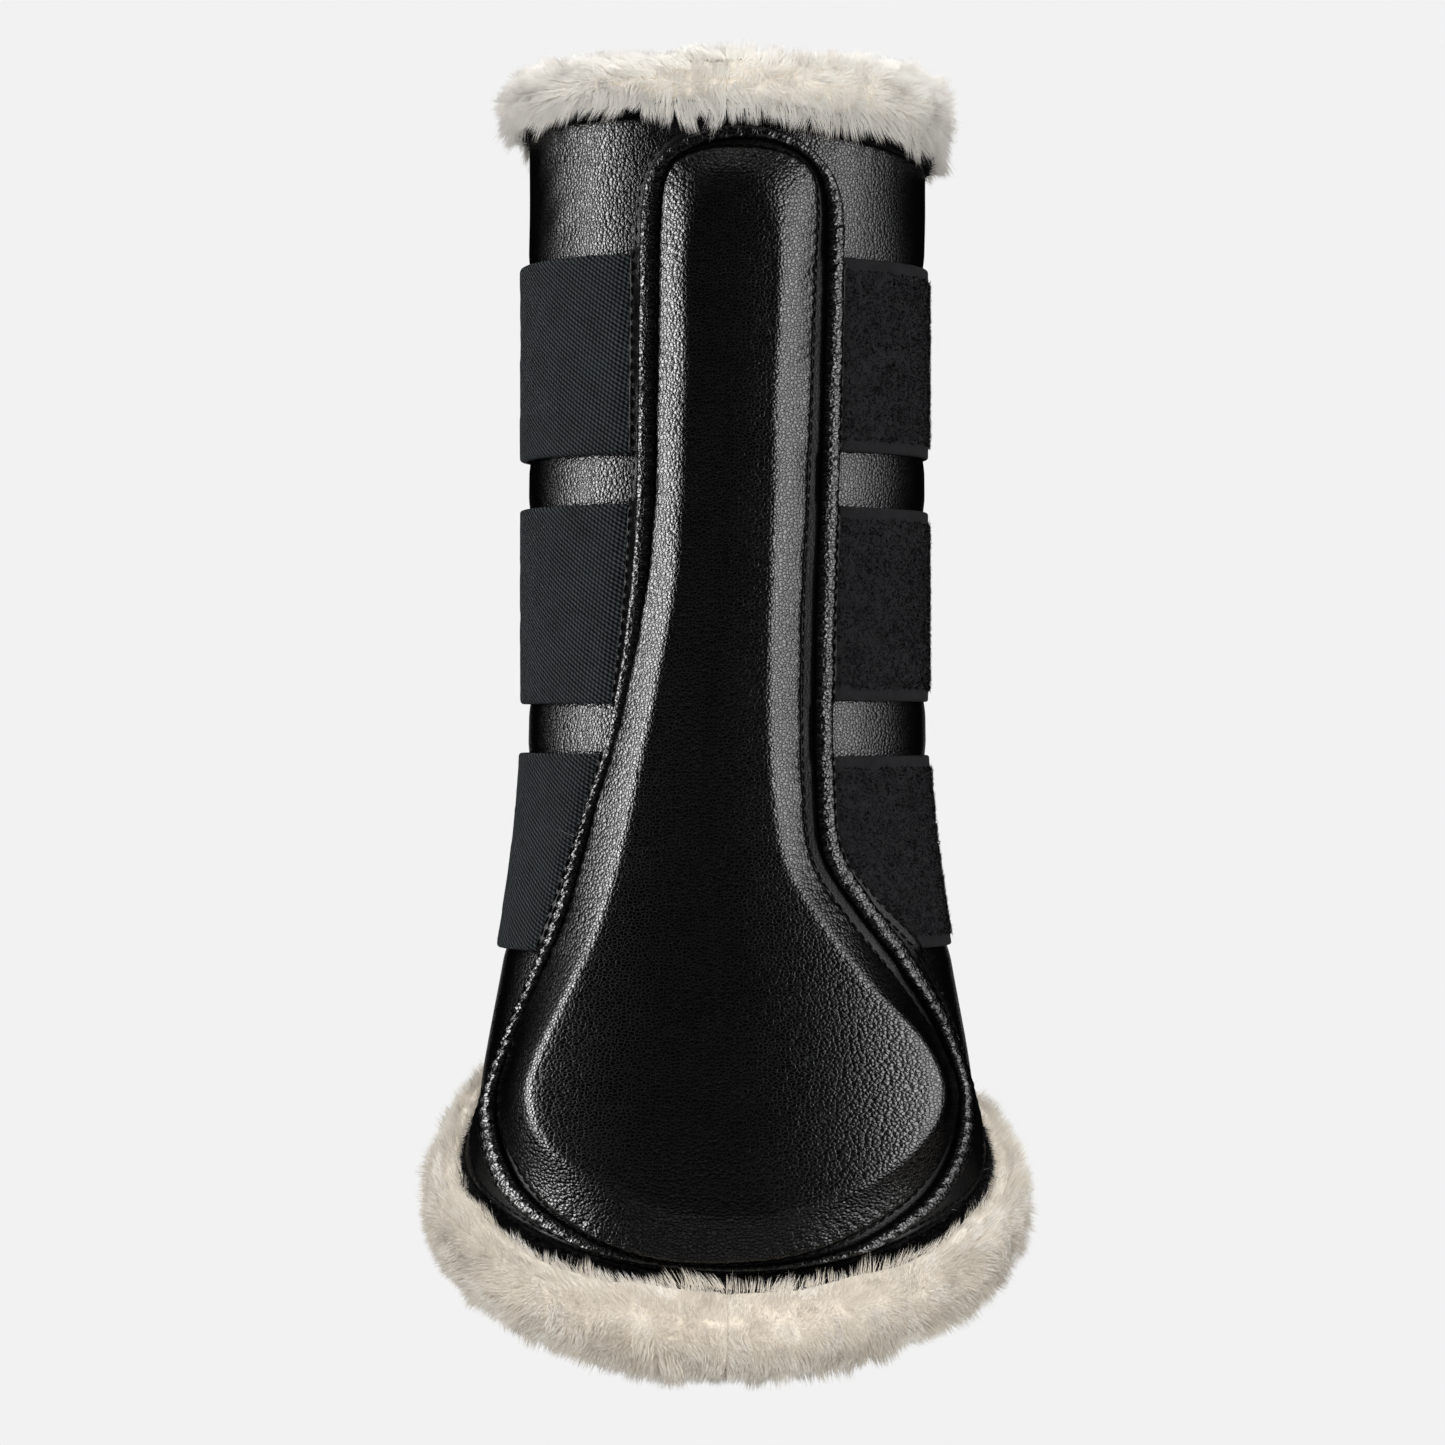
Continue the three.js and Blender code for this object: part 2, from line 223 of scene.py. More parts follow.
def spaced(start, end, step, edge):
    """Positions from start to end, closer together within edge of each end."""
    count = max(2, int(math.ceil((end - start - 2 * edge) / step)) + 1)
    ends = np.array([0, 0.06, 0.25, 0.55]) * edge
    middle = np.linspace(start + edge, end - edge, count)
    return np.concatenate([start + ends, middle, end - ends[::-1]])


def rounding(distance, radius):
    """How far a rounded edge falls, from 0 to 1, at a distance in from it."""
    x = np.clip(1 - distance / radius, 0, 1)
    return 1 - np.sqrt(np.clip(1 - x * x, 0, 1))


def both_edges(z, low, high, radius):
    return rounding(z - low, radius) + rounding(high - z, radius)


def slab(name, angle, z, outer, inner, material):
    """A closed slab on the boot between two depths over one grid, rows upwards."""
    angle, z, outer, inner = np.broadcast_arrays(angle, z, outer, inner)
    rows, columns = angle.shape
    points = np.stack([on_boot(angle, z, outer), on_boot(angle, z, inner)])
    flat = np.stack([flat_place(angle, z, outer), flat_place(angle, z, inner)])
    count = rows * columns
    face = quads(rows, columns)
    ids = np.arange(count).reshape(rows, columns)
    rim = np.concatenate([ids[0], ids[1:, -1], ids[-1, -2::-1], ids[-2:0:-1, 0]])
    after = np.roll(rim, -1)
    side = np.stack([rim, rim + count, after + count, after], -1)
    faces = [np.concatenate([face, face[:, ::-1] + count, side])]
    return build_mesh(name, points, faces, material, flat.reshape(-1, 3))


def swept(name, rings, material, flat=None, closed=True):
    """A closed body from rings of points. closed joins the last ring to the first,
    and otherwise the two end rings are capped."""
    rings = np.asarray(rings)
    count, around = rings.shape[:2]
    faces = [quads(count, around, closed, True)]
    if not closed:
        ends = np.stack([np.arange(around)[::-1], np.arange(around) + (count - 1) * around])
        faces.append(ends)
    flat = None if flat is None else np.asarray(flat).reshape(-1, 3)
    return build_mesh(name, rings.reshape(-1, 3), faces, material, flat)


def unit(v):
    return v / np.maximum(np.linalg.norm(v, axis=-1, keepdims=True), 1e-12)


def strands(name, roots, ways, bends, lengths, widths, materials, shades, rings=2, facing=None):
    """Tapered three-sided fibres, one closed body each. bends is how far each tip is
    carried sideways. shades is the material of each fibre's root and of its tip. facing is
    the way the surface under each fibre faces, and softens the fibre's shading."""
    count = len(roots)
    ways = unit(ways)
    side = unit(np.cross(ways, unit(bends + 1e-6)) + 1e-9)
    other = np.cross(ways, side)
    t = np.arange(rings) / rings
    corner = np.arange(3) * 2 * math.pi / 3
    spine = (
        roots[:, None]
        + ways[:, None] * (lengths[:, None] * t)[..., None]
        + bends[:, None] * (t**2)[None, :, None]
    )
    thick = widths[:, None] * (1 - t * 0.85)[None, :]
    ring = (
        side[:, None, None] * np.cos(corner)[None, None, :, None]
        + other[:, None, None] * np.sin(corner)[None, None, :, None]
    )
    body = spine[:, :, None] + ring * thick[:, :, None, None]
    tip = roots + ways * lengths[:, None] + bends
    each = 3 * rings + 1
    points = np.concatenate([body.reshape(count, 3 * rings, 3), tip[:, None]], 1)
    base = np.arange(count)[:, None, None] * each
    side_faces = quads(rings, 3, False, True)
    last = 3 * (rings - 1)
    caps = [[2, 1, 0]] + [[last + k, last + (k + 1) % 3, each - 1] for k in range(3)]
    four = (side_faces[None] + base).reshape(-1, 4)
    three = (np.array(caps)[None] + base).reshape(-1, 3)
    root_shade, tip_shade = shades
    four_shades = np.repeat(root_shade, len(side_faces))
    three_shades = np.stack([root_shade] + [tip_shade] * 3, -1).ravel()
    shades = np.concatenate([four_shades, three_shades])
    obj = build_mesh(name, points, [four, three], materials, shades=shades)
    if facing is not None:
        around = np.tile(ring, (1, rings, 1, 1)).reshape(count, 3 * rings, 3)
        own = np.concatenate([around, ways[:, None]], 1)
        normals = unit(unit(facing)[:, None] + FIBRE_ROUNDNESS * own).reshape(-1, 3)
        obj.data.normals_split_custom_set_from_vertices(normals)
    return obj


def ride_fold(obj):
    """Bakes the piece's placement into its mesh."""
    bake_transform(obj)


# ---- Materials ----


def make_material(name, kind="BsdfPrincipled"):
    """A material with one shader."""
    material = bpy.data.materials.new(name)
    material.use_nodes = True
    tree = material.node_tree
    tree.nodes.clear()
    out = tree.nodes.new("ShaderNodeOutputMaterial")
    shader = tree.nodes.new("ShaderNode" + kind)
    tree.links.new(shader.outputs[0], out.inputs[0])
    return material, tree, shader


def set_inputs(made, inputs):
    """Sets a node's inputs to sockets or plain values."""
    for key, value in inputs.items():
        if isinstance(value, bpy.types.NodeSocket):
            made.id_data.links.new(value, made.inputs[key])
        else:
            made.inputs[key].default_value = value


def node(tree, kind, inputs, **settings):
    """Makes a node and returns its first output."""
    made = tree.nodes.new("ShaderNode" + kind)
    for key, value in settings.items():
        setattr(made, key, value)
    set_inputs(made, inputs)
    return made.outputs[0]


def math_node(operation, *values):
    tree = next(v.id_data for v in values if isinstance(v, bpy.types.NodeSocket))
    return node(tree, "Math", dict(enumerate(values)), operation=operation)


def add(a, b):
    return math_node("ADD", a, b)


def times(a, b):
    return math_node("MULTIPLY", a, b)


def map_range(value, *limits, eased=False):
    """limits are the least and the most value, and what these two become."""
    kind = "SMOOTHSTEP" if eased else "LINEAR"
    inputs = dict(enumerate((value, *limits)))
    return node(value.id_data, "MapRange", inputs, interpolation_type=kind)


def noise_texture(place, scale, detail):
    return node(place.id_data, "TexNoise", {"Vector": place, "Scale": scale, "Detail": detail})


def flat_coordinates(tree):
    made = tree.nodes.new("ShaderNodeAttribute")
    made.attribute_name = "flat"
    return made.outputs["Vector"]


def object_coordinates(tree):
    return node(tree, "TexCoord", {}).node.outputs["Object"]


def colour_ramp(value, stops):
    made = value.id_data.nodes.new("ShaderNodeValToRGB")
    set_inputs(made, {0: value})
    elements = made.color_ramp.elements
    for element, (place, colour) in zip(elements, stops):
        element.position = place
        element.color = (*colour, 1)
    return made.outputs[0]


def grained_leather(name, grain, relief, colour, rough, shine=0.5):
    """Pebbled leather. grain is the width of a pebble in millimetres, relief its height as
    a share of that, and rough the least and the most roughness. The creases between pebbles
    get a darker colour and less gloss, as painted shade, and leather seen nearly edge-on is dull."""
    material, tree, shader = make_material(name)
    flat = flat_coordinates(tree)
    scale = 1 / (grain * MM)
    warp = noise_texture(flat, scale * 0.8, 1.0).node.outputs["Color"]
    centred = node(tree, "VectorMath", {0: warp, 1: (0.5, 0.5, 0.5)}, operation="SUBTRACT")
    shift = {0: centred, 3: 0.9 * grain * MM}
    shift = node(tree, "VectorMath", shift, operation="SCALE")
    place = node(tree, "VectorMath", {0: flat, 1: shift}, operation="ADD")
    cells = {"Vector": place, "Scale": scale, "Randomness": 1.0}
    cells_2d = {"voronoi_dimensions": "2D"}
    made = node(tree, "TexVoronoi", cells, feature="DISTANCE_TO_EDGE", **cells_2d).node
    pebbles = map_range(made.outputs["Distance"], -0.02, 0.17, 0.0, 1.0, eased=True)
    rounded = {**cells, "Smoothness": 0.45}
    made = node(tree, "TexVoronoi", rounded, feature="SMOOTH_F1", **cells_2d).node
    dome = math_node("SUBTRACT", 1.0, made.outputs["Distance"])
    fine = noise_texture(flat, scale * 2.2, 2.0)
    broad = noise_texture(flat, scale * 0.09, 3.0)
    height = add(add(dome, times(pebbles, 0.2)), times(fine, 0.35))
    depth = {"Height": height, "Strength": 1.0, "Distance": grain * relief * MM}
    # Painted shade: in the creases between pebbles the base colour darkens to half and the specular
    # level drops.
    dark = tuple(c * 0.5 for c in colour)
    mix = add(add(times(pebbles, 0.5), 0.1), times(broad, 0.5))
    spread = map_range(broad, 0.3, 0.7, *rough)
    gloss = map_range(pebbles, 0.0, 1.0, shine * 0.3, shine)
    edge_on = node(tree, "LayerWeight", {"Blend": 0.5}).node.outputs["Facing"]
    look = {
        "Base Color": colour_ramp(mix, [(0.25, dark), (0.85, colour)]),
        "Normal": node(tree, "Bump", depth),
        "Roughness": map_range(pebbles, 0.0, 1.0, 0.42, spread),
        "Specular IOR Level": times(gloss, map_range(edge_on, 0.25, 0.7, 1.0, 0.02)),
    }
    shader.inputs["Specular IOR Level"].default_value = shine
    set_inputs(shader, look)
    return material


def elastic_weave(name, rib, colour, light):
    """Woven elastic: diagonal ribs of small raised stitches, slanting down to the right."""
    material, tree, shader = make_material(name)
    flat = flat_coordinates(tree)
    s, z, _ = node(tree, "SeparateXYZ", {0: flat}).node.outputs
    slope = math.radians(34)
    turns = 2 * math.pi / (rib * MM)

    def wave(kx, kz, shift):
        return math_node("SINE", add(add(times(s, kx), times(z, kz)), shift))

    wobble = times(noise_texture(flat, 700.0, 2.0), 2.2)
    ribs = wave(turns * math.sin(slope), turns * math.cos(slope), wobble)
    picks = wave(turns * 0.95, -turns * 0.12, 0.0)
    height = add(ribs, times(picks, 0.65))
    # Painted light: the colour follows the weave's height. It is lighter on the raised stitches as
    # a painted highlight and darker in the hollows as painted shade.
    shade = add(times(height, 0.27), 0.5)
    patchy = add(times(noise_texture(flat, 160.0, 3.0), 0.4), 0.8)
    depth = {"Height": height, "Strength": 1.0, "Distance": 0.14 * MM}
    look = {
        "Base Color": colour_ramp(times(shade, patchy), [(0.38, colour), (0.85, light)]),
        "Normal": node(tree, "Bump", depth),
        "Roughness": 0.75,
        "Specular IOR Level": 0.08,
    }
    set_inputs(shader, look)
    return material


def plain(name, colour, rough, specular):
    """For fibres and thread, whose look is in their shape."""
    material, _, shader = make_material(name)
    look = {"Base Color": (*colour, 1), "Roughness": rough, "Specular IOR Level": specular}
    set_inputs(shader, look)
    return material


def mottled(name, low, high, rough, scale, bump_mm, sheen=0.0):
    """A soft backing, mottled with a fine nap."""
    material, tree, shader = make_material(name)
    place = object_coordinates(tree)
    nap = noise_texture(place, scale, 4.0)
    depth = {"Height": nap, "Strength": 0.8, "Distance": bump_mm * MM}
    clouds = noise_texture(place, scale * 0.2, 3.0)
    look = {
        "Base Color": colour_ramp(clouds, [(0.3, low), (0.7, high)]),
        "Normal": node(tree, "Bump", depth),
        "Roughness": rough,
        "Specular IOR Level": 0.2,
        "Sheen Weight": sheen,
    }
    set_inputs(shader, look)
    return material


BLACK = (0.0014, 0.0014, 0.0016)
shell_leather = grained_leather("shell_leather", 0.74, 0.145, BLACK, (0.2, 0.26), 0.4)
pad_leather = grained_leather("pad_leather", 0.68, 0.15, (0.0009, 0.0009, 0.001), (0.2, 0.25))
edge_leather = grained_leather("edge_leather", 0.55, 0.12, BLACK, (0.35, 0.42), 0.35)
flange_leather = grained_leather("flange_leather", 0.55, 0.1, BLACK, (0.42, 0.5), 0.2)
# The elastic's lighter colour is a painted highlight on its raised stitches.
elastic = elastic_weave("elastic", 0.8, (0.0002, 0.0002, 0.0003), (0.036, 0.044, 0.048))
shades = (0.002, 0.002, 0.0025), (0.005, 0.005, 0.006)
backing_black = mottled("backing_black", *shades, 0.9, 1500, 0.2)
foam_grey = mottled("foam_grey", (0.10, 0.10, 0.10), (0.14, 0.14, 0.14), 0.95, 1800, 0.15)
shades = (0.76, 0.68, 0.57), (0.84, 0.78, 0.68)
backing_cream = mottled("backing_cream", *shades, 0.95, 900, 0.5, sheen=0.1)
shades = (0.006, 0.006, 0.007), (0.012, 0.012, 0.013)
hook_plastic = mottled("hook_plastic", *shades, 0.5, 2600, 0.25)
pile_fibre = [
    plain("pile_dark", (0.0006, 0.0006, 0.0008), 0.6, 0.03),
    plain("pile_light", (0.010, 0.010, 0.012), 0.5, 0.08),
]
binding_fibre = [
    plain("binding_dark", (0.0012, 0.0012, 0.0014), 0.7, 0.15),
    plain("binding_light", (0.005, 0.005, 0.006), 0.6, 0.25),
]
plain_hook = plain("hook", (0.012, 0.012, 0.013), 0.4, 0.4)
thread = plain("thread", (0.0015, 0.0015, 0.0018), 0.6, 0.05)
# Pale grey thread for loose ends, as a painted glint on black thread.
painted_glint_thread = plain("painted_glint_thread", (0.16, 0.155, 0.15), 0.6, 0.3)
# The darker, warmer tones go on the fibres' roots as painted shade deep in the pile.
fleece_fibre = [
    plain("fleece_root", (0.68, 0.61, 0.52), 0.9, 0.05),
    plain("fleece_white", (0.89, 0.86, 0.80), 0.85, 0.05),
    plain("fleece_cream", (0.83, 0.78, 0.70), 0.85, 0.05),
    plain("fleece_warm", (0.70, 0.63, 0.53), 0.85, 0.05),
]


# ---- Camera, floor and lights ----

camera_data = bpy.data.cameras.new("camera")
camera_data.sensor_width = 36
camera_data.lens = 132.4
camera = bpy.data.objects.new("camera", camera_data)
camera.location = (-0.93 * MM, -1.1, -1.97 * MM)
camera.rotation_euler = (math.pi / 2, 0, 0)
bpy.context.scene.collection.objects.link(camera)
bpy.context.scene.camera = camera
bpy.context.scene.view_settings.view_transform = "Standard"

PAPER = 0.887  # the pale grey of the floor and the wall behind, in linear light


def glowing(name, strength, soft_edge=None):
    """White light. soft_edge is the share of the width and the height that fades out."""
    material, tree, glow = make_material(name, "Emission")
    if soft_edge:
        parts = node(tree, "SeparateXYZ", {0: object_coordinates(tree)}).node
        fades = []
        for part, edge in zip(parts.outputs, soft_edge):
            far = math_node("ABSOLUTE", part)
            fades.append(map_range(far, 0.5 - edge, 0.5, 1.0, 0.0, eased=True))
        strength = times(times(*fades), strength)
    set_inputs(glow, {"Color": (1, 1, 1, 1), "Strength": strength})
    return material


def softbox(name, azimuth, elevation, distance, size, strength, soft_edge=(0.2, 0.2)):
    """A glowing panel that faces the boot and that the camera doesn't see. azimuth is in
    degrees to the right of the camera, seen from the boot."""
    corners = np.array([(-0.5, -0.5, 0), (0.5, -0.5, 0), (0.5, 0.5, 0), (-0.5, 0.5, 0)])
    glow = glowing(name, strength, soft_edge)
    panel = build_mesh(name, corners, [[[0, 1, 2, 3]]], glow)
    a, e = math.radians(azimuth), math.radians(elevation)
    out = Vector((math.sin(a) * math.cos(e), -math.cos(a) * math.cos(e), math.sin(e)))
    panel.location = out * distance
    panel.rotation_mode = "QUATERNION"
    panel.rotation_quaternion = (-out).to_track_quat("Z", "Y")
    panel.scale = (*size, 1)
    panel.visible_camera = False
    return panel


FLOOR = 4  # half the floor's width, in metres
FLOOR_DROP = 3  # below the CAD model, clear of the fleece
corners = FLOOR * np.array([(-1, -1, 0), (1, -1, 0), (1, 1, 0), (-1, 1, 0)])
floor = build_mesh("floor", corners, [[[0, 1, 2, 3]]], glowing("floor", PAPER))
floor.location.z = cad_box[0][2] - FLOOR_DROP * MM
floor.visible_glossy = False

world = bpy.data.worlds.new("surroundings")
world.use_nodes = True
world.node_tree.nodes["Background"].inputs["Color"].default_value = (PAPER, PAPER, PAPER, 1)
bpy.context.scene.world = world
world.cycles_visibility.glossy = False

softbox("light_left", -86, 3, 0.9, (0.48, 1.1), 24.0, (0.38, 0.3)).visible_diffuse = False
softbox("light_left_high", -136, 34, 0.9, (0.5, 0.4), 2.0, (0.3, 0.3)).visible_diffuse = False
softbox("light_right", 60, 3, 0.9, (0.34, 1.1), 12.5, (0.25, 0.3)).visible_diffuse = False
softbox("light_right_far", 84, 5, 0.9, (0.36, 1.3), 6.0, (0.3, 0.12)).visible_diffuse = False
softbox("light_back", 180, -12, 1.2, (0.8, 0.7), 1.0).visible_diffuse = False
softbox("light_top", 0, 66, 0.9, (0.8, 0.4), 1.2)
softbox("light_low", 0, -30, 0.9, (1.8, 0.5), 0.5).visible_diffuse = False
softbox("fill", 0, 14, 1.4, (1.8, 1.6), 3.8).visible_glossy = False
softbox("fill_top", 0, 70, 1.2, (1.6, 1.2), 6.6).visible_glossy = False
softbox("fill_back", 180, 20, 1.4, (1.8, 1.2), 2.6).visible_glossy = False


# ---- Shell: leather, foam and lining, in a left and a right half ----


def side_span(side, ends):
    """First and last angle of one side of the boot."""
    return (ends[0], FRONT) if side == "left" else (FRONT, ends[1])


SIDES = "left", "right"
LOW_MARGIN, HIGH_MARGIN = 3.2, 0.15  # between the leather and its edge heights


def wall_grid(side, column_step, row_step, edge):
    first, last = side_span(side, LEATHER_ENDS)
    columns = spaced(first, last, column_step, edge)[None, :]
    v = spaced(0, 1, row_step / WALL_HEIGHT, edge / WALL_HEIGHT)[:, None]
    low = bottom_edge(columns) + LOW_MARGIN
    high = top_edge(columns) - HIGH_MARGIN
    return columns + 0 * v, low + (high - low) * v, low, high


def heights(name):
    """Lowest and highest point of a CAD solid."""
    low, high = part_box(name)
    return low.z / MM, high.z / MM


def strap_press(z):
    """How far the straps press the leather in, and how it swells between them."""
    swell = 0 * z
    for row in ROWS:
        low, high = heights(f"strap_{row}_side")
        swell = swell - smooth((z - low + 3) / 6) * smooth((high + 3 - z) / 6)
    return 0.55 * (1 + swell)


def leather_surface(angle, z):
    """The leather's own unevenness, as a depth."""
    along = angle * FRONT_MM_PER_DEGREE
    depth = strap_press(z) + 0.22 * noise(along / 17, z / 13, 3)
    left_shoulder = hill(angle % WHOLE, 212, 20) * hill(z, 103, 15)
    folds = noise((along + 0.5 * z) / 8, (z - 0.35 * along) / 4, 5)
    depth = depth + 0.2 * left_shoulder * folds
    corner = hill(angle % WHOLE, 197, 16) + 0.6 * hill((angle + 180) % WHOLE, 167, 14)
    above = z - bottom_edge(angle) - LOW_MARGIN
    depth = depth + corner * (1.6 * np.exp(-above / 5) - 0.8 * hill(above, 9, 5))
    near_edge = np.exp(-above / 4) + 0.5 * hill(z, top_edge(angle), 4)
    return depth + 0.25 * noise(along / 2.2, z / 9, 8) * near_edge


LINING_FACE = -LEATHER - FOAM - LINING + 0.8


def lining_heights(angle):
    """The lining runs on under the bindings, up to the sheepskin rolls."""
    return bottom_edge(angle) - 0.6, top_edge(angle) + 3.6


def lining_fleece(side, part, sector, seed):
    """Fibres over the inside of the lining, combed downwards."""
    draw = np.random.default_rng(seed)
    count = LINING_FIBRES
    angle = draw.uniform(*sector, count)
    low, high = lining_heights(angle)
    z = low + (high - low) * draw.uniform(0, 1, count)
    roots = on_boot(angle, z, LINING_FACE + 0.7)
    inward = unit(on_boot(angle, z, LINING_FACE - 5) - roots)
    _, sideways = directions(angle)
    sweep = noise(angle / 6, z / 6, 25)[:, None]
    comb = 0.6 * sideways * sweep + np.array([0, 0, -0.55])
    ways = inward + comb + 0.3 * draw.normal(size=(count, 3))
    length = draw.uniform(2.0, 3.2, count) * MM
    bends = (comb - 0.2 * inward) * length[:, None] * 0.5
    widths = draw.uniform(0.13, 0.2, count) * MM
    shade = np.where(draw.uniform(0, 1, count) < 0.5, 0, 2), draw.integers(1, 3, count)
    name = f"fleece_lining_{side}_{part}"
    fur = strands(name, roots, ways, bends, length, widths, fleece_fibre, shade, facing=inward)
    ride_fold(fur)


def edge_fleece(name, side, roots, angle, longest, seed):
    """Fibres standing off an end of the sheepskin at the closure."""
    draw = np.random.default_rng(seed)
    count = len(roots)
    across = directions(angle)[1] * (-1 if side == "left" else 1)
    ways = across + 0.5 * draw.normal(size=(count, 3))
    length = draw.uniform(0.5, 1, count) * longest * MM
    bends = 0.3 * draw.normal(size=(count, 3)) * length[:, None]
    widths = draw.uniform(0.09, 0.14, count) * MM
    shade = np.where(draw.uniform(0, 1, count) < 0.5, 0, 2), draw.integers(1, 3, count)
    fur = strands(name, roots, ways, bends, length, widths, fleece_fibre, shade, facing=across)
    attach(fur, f"{side}_wing")


for side in SIDES:
    angle, z, low, high = wall_grid(side, 0.9, 1.15, 1.4)
    outer = leather_surface(angle, z) - both_edges(z, low, high, 1.1)
    shell = slab(f"shell_{side}", angle, z, outer, -LEATHER, shell_leather)
    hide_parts(f"{side}_shell", "front_shell")
    ride_fold(shell)

    angle, z, _, _ = wall_grid(side, 4, 6, 1)
    core = slab(f"foam_{side}", angle, z, -LEATHER - GAP, -LEATHER - FOAM, foam_grey)
    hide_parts(f"{side}_core", "front_core")
    ride_fold(core)

    first, last = side_span(side, LINING_ENDS)
    angle = spaced(first, last, 1.6, 1)[None, :]
    low, high = lining_heights(angle)
    z = low + (high - low) * spaced(0, 1, 1.6 / 210, 1 / 210)[:, None]
    angle = angle + 0 * z
    along = angle * FRONT_MM_PER_DEGREE
    tufts = noise(along / 2.6, z / 3.2, 21) + 0.6 * noise(along / 1.2, z / 1.7, 22)
    inner = LINING_FACE - 0.7 * tufts
    lining = slab(f"lining_{side}", angle, z, -LEATHER - FOAM - GAP, inner, backing_cream)
    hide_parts(f"{side}_lining", "front_lining")
    ride_fold(lining)
    middle = (first + last) / 2
    lining_fleece(side, 1, (first, middle), 23)
    lining_fleece(side, 2, (middle, last), 24)
    end = first if side == "left" else last
    draw = np.random.default_rng(26)
    low, high = lining_heights(end)
    end_z = draw.uniform(low, high, END_FIBRES)
    end_angle = end + 0 * end_z
    roots = on_boot(end_angle, end_z, draw.uniform(LINING_FACE, -5.1, END_FIBRES))
    edge_fleece(f"fleece_lining_edge_{side}", side, roots, end_angle, 1.3, 27)


# ---- Strike pad ----

# Matching points of the flange's edge, the foot of the raised cover and the edge of its
# plateau, on the boot unrolled from the front's centre line: bottom, left, top, right.
PAD_STATIONS = np.array(
    [
        [(0, -110.6), (0, -108.6), (0, -98.3)],
        [(-20, -107.8), (-14, -107), (-11, -96.2)],
        [(-38, -100.9), (-27, -99.3), (-19, -91.2)],
        [(-51, -94.2), (-36, -89.2), (-25.5, -84)],
        [(-56, -86.5), (-40.7, -79.5), (-28, -76)],
        [(-50.8, -76), (-40.2, -70), (-27.2, -68.5)],
        [(-44.5, -62), (-35.5, -56), (-23.6, -55.5)],
        [(-38, -46.5), (-29.8, -40.5), (-19, -40)],
        [(-30.5, -24.5), (-25, -19), (-14.9, -19)],
        [(-24.3, -4), (-20.4, -2.5), (-12.2, -3)],
        [(-20.9, 18), (-16, 19), (-8.9, 19)],
        [(-19.4, 42), (-13.5, 42), (-6.6, 42)],
        [(-19, 78), (-12.8, 78), (-6, 78)],
        [(-18.6, 99), (-12.3, 100), (-5.7, 97)],
        [(-16.3, 109), (-10.3, 108.6), (-4.2, 103.3)],
        [(-9.5, 115.6), (-5.2, 112), (-1.6, 105.8)],
        [(0, 118), (2, 112.8), (1.2, 106.3)],
        [(11, 115.8), (10.2, 111.6), (4, 105.4)],
        [(18.8, 110.3), (15.4, 108.3), (6.6, 102.6)],
        [(22.8, 103), (17, 101.5), (7.6, 96)],
        [(23.5, 90), (16.4, 88), (7.8, 80)],
        [(22.8, 50), (15.2, 50), (7.1, 50)],
        [(21.8, 18), (13.9, 18), (6.6, 18)],
        [(21.4, -12), (13.8, -14), (6.5, -11)],
        [(22.3, -27), (15.2, -29.5), (8.6, -28.5)],
        [(29, -36.8), (20.8, -40), (13.2, -39.3)],
        [(40, -47.5), (30, -52.7), (21.6, -54.5)],
        [(48.3, -61), (37.3, -64), (28.2, -64.2)],
        [(53.2, -75), (41, -74.5), (30.9, -73)],
        [(55.5, -86), (39.8, -82.3), (29.4, -81)],
        [(51, -94.2), (34.6, -90.8), (24.2, -88.3)],
        [(38, -100.9), (26, -98.9), (16.8, -94)],
        [(20, -107.8), (13.5, -106.2), (9, -97.1)],
    ],
    float,
)
AROUND = 1100  # points round the pad
SPINE = [(-76, 1.5), (-40, -2.9), (-20, -3.5), (0, -2.6), (18, -1.2), (42, 0.2), (97, 1)]


def through(stations, count):
    """A smooth closed curve through the stations, as evenly spaced points."""
    n = len(stations)
    t = np.linspace(0, n, 40 * n, endpoint=False)
    i = np.floor(t).astype(int)
    f = (t - i)[:, None, None]
    a, b, c, d = (stations[(i + k) % n] for k in (-1, 0, 1, 2))
    curve = 0.5 * (
        2 * b + (c - a) * f + (2 * a - 5 * b + 4 * c - d) * f**2 + (3 * b - a - 3 * c + d) * f**3
    )
    middle = curve[:, 1]
    steps = np.linalg.norm(np.roll(middle, -1, 0) - middle, axis=-1)
    length = np.concatenate([[0], np.cumsum(steps)])
    wanted = np.arange(count) * length[-1] / count
    place = np.interp(wanted, length, np.arange(len(length)))
    k = np.floor(place).astype(int)
    g = (place - k)[:, None, None]
    return curve[k % len(curve)] * (1 - g) + curve[(k + 1) % len(curve)] * g, length[-1]


pad_lines, pad_length = through(PAD_STATIONS, AROUND)
flange_line, foot_line, plateau_line = pad_lines[:, 0], pad_lines[:, 1], pad_lines[:, 2]
pad_arc = np.arange(AROUND) * pad_length / AROUND
border_gap = np.linalg.norm(flange_line - foot_line, axis=1)
border_share = np.clip(border_gap / 7, 0.28, 1)  # the border band is squeezed at the bottom


def pad_points(line, depth):
    """Points and flat places of a line on the unrolled pad."""
    angle = FRONT + line[..., 0] / FRONT_MM_PER_DEGREE
    return on_boot(angle, line[..., 1], depth), flat_place(angle, line[..., 1], depth)


def strap_lift(z):
    """1 where a strap or a pile patch lies under the pad's edge."""
    lift = 0 * z
    for row in ROWS:
        low, high = heights(f"strap_{row}_side")
        lift = lift + smooth((z - low + 1.5) / 3) * smooth((high + 1.5 - z) / 3)
    return lift


def toward(a, b, mm):
    """Points mm from line a on the way to line b."""
    gap = np.linalg.norm(b - a, axis=1, keepdims=True)
    return a + (b - a) * np.reshape(mm, (-1, 1)) / gap


